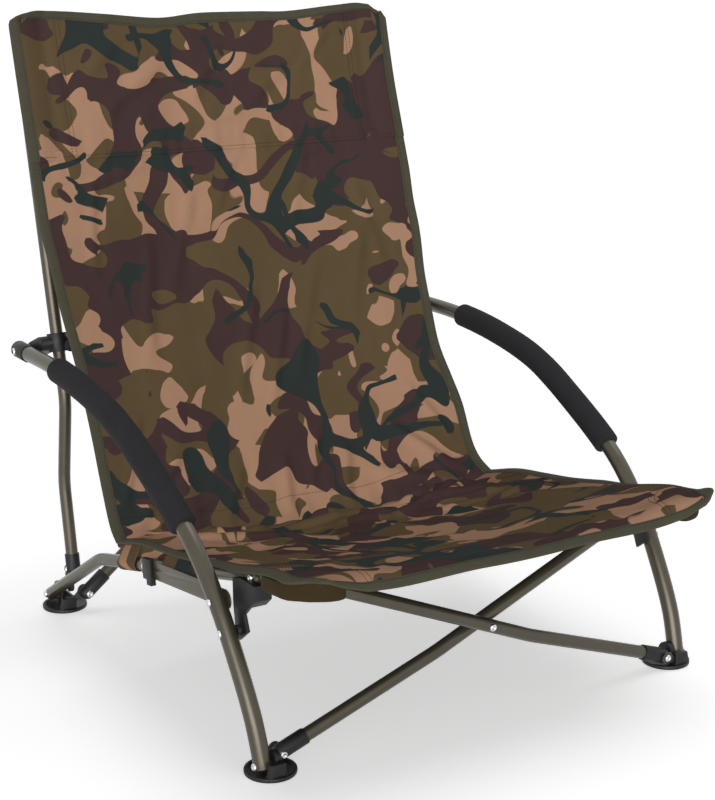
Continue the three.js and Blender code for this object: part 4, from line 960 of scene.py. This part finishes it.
def cloth_piece(name, points, flat_x, flat_h, thickness=1.3, print_shift=(0.5, 0.5)):
    """Turns a grid of points into a piece of cloth with a printed face and a coated reverse."""
    spots = [at(*p) for p in points.reshape(-1, 3)]
    uv = np.stack([flat_x.ravel(), flat_h.ravel()], axis=1) * MM + print_shift
    piece = make_piece(name, spots, grid_faces(*points.shape[:2]), [CAMO, REVERSE], uv)
    return thicken(piece, thickness, reverse=1)


print("seat run", round(SEAT_RUN), "mm")

# %% The seat panel
SEAT_PRINT_SHIFT = (2.7, 0.9)
seat_places = np.concatenate([np.linspace(0, 0.03, 6), np.linspace(0.03, 1.0, 84)[1:]])
seat_flat = seat_places * SEAT_RUN
seat_points, seat_height, seat_x, seat_h = panel_points(
    seat_surface, seat_places, SEAT_FOLDS, SEAT_SEED, seat_flat)
rear_gain = 1 + (SEAT_REAR_GAIN - 1) * eased((seat_places - 0.35) / 0.4)
seat_height = seat_height * (rear_gain * eased(seat_places / 0.08))[:, None]
seat_points = seat_points + seat_height[..., None] * normals_of(seat_points)
seat_cloth = cloth_piece("seat_panel", seat_points, seat_x, seat_h, print_shift=SEAT_PRINT_SHIFT)
print("seat panel has", len(seat_cloth.data.polygons), "faces")

# %% The lower back panel
TUCK = 7.0
SEAM_LAP = 9.0
lower_runs = np.concatenate([[-TUCK], np.linspace(0, SEAM_AT + SEAM_LAP, 96)])
lower_points, lower_height, lower_x, lower_h = panel_points(
    lambda u, r: back_surface(u, np.maximum(r, 0)), lower_runs, BACK_FOLDS, BACK_SEED, lower_runs)
lower_points = lower_points + (lower_height - 0.4)[..., None] * normals_of(lower_points)
lower_points[0] = lower_points[1] + np.array([0, -1.5, -TUCK])
lower_cloth = cloth_piece("lower_back_panel", lower_points, lower_x, lower_h + SEAT_RUN)
print("lower back panel has", len(lower_cloth.data.polygons), "faces")

# %% [markdown]
# ## The upper back
# Above the cross seam the back is doubled. Its two layers are sewn along the top, the sides and two upright
# seams, which leaves a channel at each side for the posts. So the layers stand apart round the posts and
# lie close together between the seams.

# %% The doubled upper panel
SEAM_X = 219.0
SEAM_ROWS = (0, 6)
UPPER_LAP = 5
CHANNEL_DEPTH, LAYER_GAP = 24, 2.4


def bump_at(distance, width):
    """A soft bump across the cloth, one at no distance."""
    return np.exp(-(distance / width) ** 2)


upper_runs = np.linspace(SEAM_AT - UPPER_LAP, BACK_LENGTH, 38)
front_points, front_height, upper_x, upper_h = panel_points(
    back_surface, upper_runs, BACK_FOLDS, BACK_SEED, upper_runs, 8, 1.15)
front_normals = normals_of(front_points)
out = np.abs(upper_x)
seam_dip = sum(bump_at(out - SEAM_X + k, 2.6) for k in SEAM_ROWS)
rise = np.clip((upper_h - SEAM_AT) / (BACK_LENGTH - SEAM_AT), 0, 1)
pillow = 2.2 * np.clip(1 - (out / SEAM_X) ** 4, 0, 1) * np.sin(np.pi * rise) ** 0.6
lift = 1.2 + pillow - 1.6 * seam_dip - 3.2 * bump_at(out - 236, 9) + 2.2 * bump_at(out - 264, 11)
front_points = front_points + (front_height + lift)[..., None] * front_normals


def channel_depth(x):
    """How far the rear layer stands behind the front one, across the panel."""
    out = np.abs(x)
    rim = np.sqrt(np.clip(1 - (np.clip(out - 262, 0, 18) / 18) ** 2, 0, 1))
    tunnel = CHANNEL_DEPTH * rim * eased((out - SEAM_X) / 26)
    return np.where(out > SEAM_X, tunnel, 0) + LAYER_GAP


top_close = np.sqrt(np.clip(1 - (np.clip(upper_h - BACK_LENGTH + 10, 0, 10) / 10) ** 2, 0, 1))
depth = channel_depth(upper_x) * top_close
depth[:, 0] = depth[:, -1] = 0
rear_points = front_points - depth[..., None] * front_normals
upper_cloth_front = cloth_piece("upper_back_front", front_points, upper_x, upper_h + SEAT_RUN, 1.0)
upper_cloth_rear = cloth_piece(
    "upper_back_rear", rear_points[:, ::-1], upper_x[:, ::-1], upper_h + SEAT_RUN + 0.4, 1.0)
print("upper panels", len(upper_cloth_front.data.polygons), len(upper_cloth_rear.data.polygons))

# %% [markdown]
# ## Edge tape
# All raw edges are bound: a ribbed tape is folded over the edge and sewn down. Its section is a flat hook,
# swept along the edge, and it leans with the cloth because both its directions come from the panel's points.

# %% Bind the edges
TAPE_WIDTH = 13.0
TAPE_SECTION = [(TAPE_WIDTH, 0.5), (TAPE_WIDTH - 0.6, 1.25), (5, 1.4), (0.6, 1.35), (-0.7, 0.8), (-1.2, -0.6),
                (-0.7, -2.0), (0.6, -2.6), (5, -2.65), (TAPE_WIDTH - 0.6, -2.5), (TAPE_WIDTH, -1.8)]
STITCH_INSET, STITCH_LIFT = 10.2, 1.5


def tape(name, edge, inward, normal):
    """A tape along an edge line, from its points, the directions into the cloth and the normals."""
    points, uv = [], []
    count = len(TAPE_SECTION)
    for spot, into, up, far in zip(edge, inward, normal, run_along(edge)):
        for k, (a, b) in enumerate(TAPE_SECTION):
            points.append(at(*(spot + a * into + b * up)))
            uv.append((far * MM, k * 0.003))
    faces = ring_faces(len(edge), count)
    faces.append(tuple(range(count)))
    faces.append(tuple(range(len(points) - count, len(points))))
    piece = outward(make_piece(name, points, faces, [TAPE], uv))
    return soften(piece, 50)


def edge_frame(points, normals, line, inner):
    """The points of an edge with unit directions into the panel and normals. line and inner pick the grid."""
    edge = np.array([points[j, i] for j, i in line])
    into = np.array([points[j, i] for j, i in inner]) - edge
    into /= np.linalg.norm(into, axis=1)[:, None]
    up = np.array([normals[j, i] for j, i in line])
    up = up - np.sum(up * into, axis=1)[:, None] * into
    return edge, into, up / np.linalg.norm(up, axis=1)[:, None]


def smoothed(directions, passes):
    """Evens out directions along a line, so that the tape turns smoothly."""
    for _ in range(passes):
        inner = (directions[:-2] + 2 * directions[1:-1] + directions[2:]) / 4
        directions = np.concatenate([directions[:1], inner, directions[-1:]])
    return directions / np.linalg.norm(directions, axis=1)[:, None]


def bind(name, points, line, inner, passes=0):
    """Tapes an edge of a panel. It returns the tape and the line of its stitches."""
    edge, into, up = edge_frame(points, normals_of(points), line, inner)
    stitches = edge + STITCH_INSET * into + STITCH_LIFT * up
    return tape(name, edge, smoothed(into, passes), smoothed(up, passes)), stitches


rows, columns = seat_points.shape[:2]
last = columns - 1
loop = [(j, 0) for j in range(rows - 1, 0, -1)] + [(0, i) for i in range(columns)] + [
    (j, last) for j in range(1, rows)]
inner = [(max(j, 3), min(max(i, 2), last - 2)) for j, i in loop]
seat_tape, seat_edge_line = bind("seat_edge_tape", seat_points, loop, inner, 4)

lower_tapes, lower_lines = [], []
for side, i, k in (("right", 0, 3), ("left", last, last - 3)):
    span = range(1, lower_points.shape[0] - 1)
    edge_places, inner_places = [(j, i) for j in span], [(j, k) for j in span]
    made, line = bind(f"lower_back_edge_tape_{side}", lower_points, edge_places, inner_places)
    lower_tapes.append(made)
    lower_lines.append(line)

top = front_points.shape[0] - 1
loop = [(j, 0) for j in range(top + 1)] + [(top, i) for i in range(1, columns)] + [
    (j, last) for j in range(top - 1, -1, -1)]
inner = [(top - 2 if j == top and i else j, min(max(i, 2), last - 2)) for j, i in loop]
upper_tape, upper_edge_line = bind("upper_back_edge_tape", front_points, loop, inner, 4)
print("tapes made", 2 + len(lower_tapes))

# %% [markdown]
# ## Stitches
# Each seam is a row of short threads. Geometry Nodes walk along the seam lines and set one stitch every few
# millimetres, turned along the line. The lines are laid on the panels, just above the cloth.

# %% The tree that sews
stitch_tree, start, end = start_tree("Sew", [
    ("Pitch", "NodeSocketFloat"), ("Length", "NodeSocketFloat"), ("Thickness", "NodeSocketFloat"),
    ("Finish", "NodeSocketMaterial")])
path = add(stitch_tree, "GeometryNodeMeshToCurve", {"Mesh": start.outputs["Geometry"]})
even = add(stitch_tree, "GeometryNodeResampleCurve", {
    "Curve": path.outputs[0], "Length": start.outputs["Pitch"]}, mode="LENGTH")
ball = add(stitch_tree, "GeometryNodeMeshUVSphere", {"Segments": 6, "Rings": 4, "Radius": 0.5})
size = add(stitch_tree, "ShaderNodeCombineXYZ", {
    0: start.outputs["Length"], 1: start.outputs["Thickness"], 2: start.outputs["Thickness"]})
thread = add(stitch_tree, "GeometryNodeTransform", {"Geometry": ball.outputs[0], "Scale": size.outputs[0]})
tangent = add(stitch_tree, "GeometryNodeInputTangent")
set_copies(stitch_tree, even.outputs[0], thread.outputs[0], tangent.outputs[0], "X",
           start.outputs["Finish"], end)
STITCH = {"Pitch": 3.6 * MM, "Length": 2.7 * MM, "Thickness": 0.75 * MM, "Finish": THREAD}
ON_CLOTH = 0.35


def sew(name, lines):
    """Stitches along lines of drawing points."""
    points, edges = [], []
    for line in lines:
        first = len(points)
        points += [at(*p) for p in line]
        edges += [(first + k, first + k + 1) for k in range(len(line) - 1)]
    mesh = bpy.data.meshes.new(name)
    mesh.from_pydata([tuple(p) for p in points], edges, [])
    return soften(run_tree(show(name, mesh), stitch_tree, STITCH), 60)


def on_grid(points, flat_u, flat_j):
    """Points just above a panel, at fractional places of its grid."""
    normals = normals_of(points)
    found = []
    for column, row in zip(flat_u, flat_j):
        i = int(min(max(column, 0), points.shape[1] - 1.001))
        j = int(min(max(row, 0), points.shape[0] - 1.001))
        a, b = column - i, row - j
        spot = sum(points[j + dj, i + di] * wa * wb
                   for di, wa in ((0, 1 - a), (1, a)) for dj, wb in ((0, 1 - b), (1, b)))
        found.append(spot + ON_CLOTH * normals[j, i])
    return np.array(found)


print("sewing tree ready")

# %% Sew the panels
POCKET_STITCHES = (62, 69)
LOW_SEAM_RUN = 36
middle = ACROSS / 2
per_mm = middle / HALF
top_rows = np.arange(0, front_points.shape[0] - 3, 0.5)
upper_lines = [upper_edge_line]
for side, sign in SIDES:
    for k in SEAM_ROWS:
        column = middle + sign * (SEAM_X - k) * per_mm
        upper_lines.append(on_grid(front_points, [column] * len(top_rows), top_rows))
columns_run = np.arange(3, ACROSS - 2, 1.0)
seam_row = UPPER_LAP / (upper_runs[1] - upper_runs[0])
upper_lines.append(on_grid(front_points, columns_run, [seam_row] * len(columns_run)))
upper_stitches = sew("upper_back_stitches", upper_lines)

low_row = 1 + LOW_SEAM_RUN / (lower_runs[2] - lower_runs[1])
lower_lines.append(on_grid(lower_points, columns_run, [low_row] * len(columns_run)))
lower_stitches = sew("lower_back_stitches", lower_lines)

seat_lines = [seat_edge_line]
for side, sign in SIDES:
    for reach in POCKET_STITCHES:
        arc = np.linspace(0, math.pi / 2, 24)
        x = sign * (SEAT_FRONT_HALF - reach * 0.95 * np.sin(arc))
        share = (8 + reach * 1.15 * np.cos(arc)) / SEAT_DEPTH
        row = np.interp(share, seat_places, np.arange(len(seat_places)))
        seat_lines.append(on_grid(seat_points, middle + x / seat_half(share) * middle, row))
seat_stitches = sew("seat_stitches", seat_lines)
print("stitch faces", [len(p.data.polygons) for p in (upper_stitches, lower_stitches, seat_stitches)])

# %% [markdown]
# ## Sleeves on the rails
# Two loops of the same cloth hang from each side of the seat and wrap the rail. Their section is a drop:
# close round the tube below, and drawn up to the seat's edge. Between them a skirt joins edge and rail.

# %% The rail sleeves
SLEEVE_X = 277
SLEEVE_RADIUS = 9.4
SLEEVES = [(34, 80), (-116, -34)]


def drop_section(edge_x, edge_z, tube_x, tube_z):
    """Points of a loop from the seat's edge round a tube and back."""
    points = [(edge_x + 0.9, edge_z)]
    for k in range(19):
        angle = math.radians(24 - 228 * k / 18)
        points.append((tube_x + SLEEVE_RADIUS * math.cos(angle), tube_z + SLEEVE_RADIUS * math.sin(angle)))
    points.append((edge_x - 0.9, edge_z))
    return points


def edge_height(y):
    """How high the underside of the seat's edge stands at a depth."""
    return seat_top(1.0, (y - SEAT_FRONT) / SEAT_DEPTH) - 1


seat_sleeves = []
for side, sign in SIDES:
    for number, (y0, y1) in enumerate(SLEEVES):
        points, uv = [], []
        stations = np.linspace(y0, y1, 14)
        for y in stations:
            section = drop_section(SLEEVE_X, edge_height(y), rail_x(y), rail_z(y))
            for k, (x, z) in enumerate(section):
                points.append(at(sign * (x + 0.5 * noise.noise(Vector((y / 12, k / 3, number)))), y, z))
                uv.append((0.3 + y * MM, 0.2 + k * 0.004 + 0.1 * number))
        faces = grid_faces(len(stations), len(section))
        sleeve = make_piece(f"rail_sleeve_{number}_{side}", points, faces, [CAMO, REVERSE], uv)
        seat_sleeves.append(outward(thicken(sleeve, 1.0, sign)))
    points, uv = [], []
    stations = np.linspace(SLEEVES[0][1] - 2, SLEEVES[1][0] + 2, 60)
    for y in stations:
        top_z, low_z = edge_height(y), rail_z(y) + SLEEVE_RADIUS
        for k in range(7):
            drop = k / 6
            flutter = 1.4 * math.sin(math.pi * drop) * noise.noise(Vector((y / 15, k / 4, 5.0)))
            x = SLEEVE_X + (rail_x(y) - SLEEVE_X) * drop + flutter
            points.append(at(sign * x, y, top_z + (low_z - 1 - top_z) * drop))
            uv.append((0.6 + y * MM, 0.2 + k * 0.004))
    skirt = make_piece(f"rail_skirt_{side}", points, grid_faces(60, 7), [CAMO, REVERSE], uv)
    seat_sleeves.append(outward(thicken(skirt, 0.9, finer=False)))
print("rail sleeves and skirts", len(seat_sleeves))

# %% [markdown]
# ## Corner pockets
# A plain cloth pouch under each front corner of the seat takes the hub. It is a shell with a rounded floor,
# drawn up against the seat.

# %% The pockets
POCKET_PLAN = [(0, 0), (1, 0), (1, 0.45), (0.9, 0.8), (0.6, 0.97), (0, 1)]
POCKET_RINGS = [(1.0, 1.0), (1.01, 0.75), (1.02, 0.5), (1.02, 0.28), (1.0, 0.14), (0.96, 0.05), (0.88, 0.01),
                (0.74, -0.01), (0.45, -0.02), (0.2, -0.03), (0.02, -0.03)]
POCKET_REAR, POCKET_FRONT, POCKET_INNER, POCKET_FLOOR = -264.0, -357.0, 228.0, 204


def rounded_plan(points):
    """A closed outline with evenly spaced points and round corners."""
    closed = np.array(list(points) + [points[0]], float)
    run = run_along(closed)
    made = points_at(closed, run, np.linspace(0, run[-1], 56, endpoint=False))
    for _ in range(6):
        made = (np.roll(made, 1, axis=0) + 2 * made + np.roll(made, -1, axis=0)) / 4
    return made


def pocket(side, sign):
    """A pouch under one front corner. Each ring has the same plan, scaled, at its own level."""
    plan = rounded_plan(POCKET_PLAN)
    centre = plan.mean(axis=0)
    points = []
    for scale, level in POCKET_RINGS:
        for p in plan:
            a, b = centre + (p - centre) * scale
            y = POCKET_REAR + (POCKET_FRONT - POCKET_REAR) * b
            share = max((y - SEAT_FRONT) / SEAT_DEPTH, 0.001)
            half = float(seat_half(share))
            x = POCKET_INNER + (half + 1.5 - POCKET_INNER) * a
            below = 2.4 + 5.0 * (1 - min(x / half, 1.0) ** 8)
            top = seat_top(sign * x / half, share) - below
            base = POCKET_FLOOR + (POCKET_REAR - y) * 0.08
            sagged = base + (top - base) * level + 0.8 * noise.noise(Vector((x / 16, y / 16, level * 3)))
            points.append(at(sign * x, y, sagged))
    faces = ring_faces(len(POCKET_RINGS), len(plan))
    faces.append(tuple(range(len(points) - len(plan), len(points))))
    return thicken(outward(make_piece(f"corner_pouch_{side}", points, faces, [POCKET])), 1.2)


pouches = [pocket(side, sign) for side, sign in SIDES]
print("pouches", [len(p.data.polygons) for p in pouches])

# %% [markdown]
# ## Tying the cloth to the frame
# The seat moves with its rail and the back with its post. As the chair folds, the sides close in and the cloth
# between them crumples, but here each piece only rides on its body.

# %% Ride
BACK_BODY = BODY_OF["back_cloth"]
for piece, body, *nodes in (
        (seat_cloth, "rail_right", "seat_cloth"), (lower_cloth, BACK_BODY, "back_cloth"),
        (upper_cloth_front, "post_right"), (upper_cloth_rear, "post_right"), (seat_tape, "rail_right"),
        (upper_tape, "post_right"), (seat_stitches, "rail_right"), (lower_stitches, BACK_BODY),
        (upper_stitches, "post_right"), *((piece, BACK_BODY) for piece in lower_tapes)):
    set_up(piece, body, "camouflage_cloth", *nodes)
    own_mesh(piece)
for piece in seat_sleeves:
    set_up(piece, "rail_right" if "right" in piece.name else "rail_left", "camouflage_cloth")
for (side, sign), piece in zip(SIDES, pouches):
    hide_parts(f"corner_pocket_{side}")
    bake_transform(piece)

# %% [markdown]
# ## Floor, light and camera
# A pale floor under a dim even sky, as in a product studio. One broad lamp from above and a little behind
# throws the soft shadow, and one from the front lifts the back's face without a shadow of its own. Light Path
# lets the camera and reflections see floor and sky as white paper, while the cloth gets only a plain level of
# light from them. The camera stands where the photograph was taken from, which was worked out from the four
# feet and the parallel tubes.

# %% Studio
scene = bpy.context.scene
LAMP_TARGET = (0, 0, 0.3)
WHITE = (1, 1, 1, 1)
FLOOR_SIZE = 30
PHOTO_HEIGHT, PHOTO_FOCAL = 800, 1772.09  # in pixels
SENSOR = 36.0
CAMERA_PLACE = (-1123.0, -1801.4, 885.2)
CAMERA_LOOKS = (0.5121, 0.8181, -0.2617)
CAMERA_ROLL = 0.14


def direct_share(tree):
    """One for what the camera sees straight, in a reflection or through something clear."""
    ray = add(tree, "ShaderNodeLightPath").outputs
    return either(tree, ray["Is Camera Ray"], either(tree, ray["Is Glossy Ray"], ray["Is Transmission Ray"]))


floor_material, tree, shader = start_material("Pale studio floor", 0.9)
colour = clouded(tree, object_place(tree), 3, "#f6f6f6", "#f9f9f9", 2)
give(tree, shader, {"Base Color": colour, "Specular IOR Level": 0.1})
shaded = add(tree, "ShaderNodeBsdfDiffuse", {"Color": linear("#ffffff")})
glow = add(tree, "ShaderNodeEmission", {"Color": WHITE, "Strength": 0.43})
paper = add(tree, "ShaderNodeAddShader", {0: shaded.outputs[0], 1: glow.outputs[0]})
seen = add(tree, "ShaderNodeMixShader", {0: direct_share(tree), 1: shader.outputs[0], 2: paper.outputs[0]})
tree.links.new(seen.outputs[0], tree.nodes["Material Output"].inputs[0])
corners = [(x * FLOOR_SIZE, y * FLOOR_SIZE, 0) for x, y in ((-1, -1), (1, -1), (1, 1), (-1, 1))]
floor = make_piece("floor", corners, [(0, 1, 2, 3)], [floor_material])

world = bpy.data.worlds.new("Studio sky")
world.use_nodes = True
scene.world = world
sky = world.node_tree
sky.nodes.clear()
plain = add(sky, "ShaderNodeBackground", {"Color": WHITE, "Strength": 0.2})
seen = add(sky, "ShaderNodeBackground", {"Color": WHITE, "Strength": 1.0})
both = add(sky, "ShaderNodeMixShader", {0: direct_share(sky), 1: plain.outputs[0], 2: seen.outputs[0]})
add(sky, "ShaderNodeOutputWorld", {0: both.outputs[0]})


def lamp(name, energy, softness, place, shadow=True):
    """A sun lamp that shines from a place towards the chair."""
    light = bpy.data.lights.new(name, "SUN")
    light.energy = energy
    light.angle = math.radians(softness)
    light.use_shadow = shadow
    shown = show(name, light)
    shown.location = place
    shown.rotation_euler = (Vector(LAMP_TARGET) - Vector(place)).to_track_quat("-Z", "Y").to_euler()


lamp("Top lamp behind the back", 0.95, 45, (1.0, 0.6, 3.0))
lamp("Front fill without a shadow", 2.9, 50, (-1.9, -2.7, 0.63), shadow=False)

camera_data = bpy.data.cameras.new("Photo camera")
camera_data.sensor_width = SENSOR
camera_data.lens = PHOTO_FOCAL / PHOTO_HEIGHT * SENSOR
camera_data.clip_end = 200
camera = show("Photo camera", camera_data)
aim_line = Vector(CAMERA_LOOKS).normalized()
right_line = aim_line.cross(Vector((0, 0, 1))).normalized()
up_line = right_line.cross(aim_line)
roll = math.radians(CAMERA_ROLL)
turned_right = right_line * math.cos(roll) + up_line * math.sin(roll)
turned_up = up_line * math.cos(roll) - right_line * math.sin(roll)
rotation = Matrix((turned_right, turned_up, -aim_line)).transposed()
camera.matrix_world = Matrix.Translation(at(*CAMERA_PLACE)) @ rotation.to_4x4()
scene.camera = camera
scene.view_settings.view_transform = "Standard"
print("camera at", [round(v, 3) for v in camera.location])
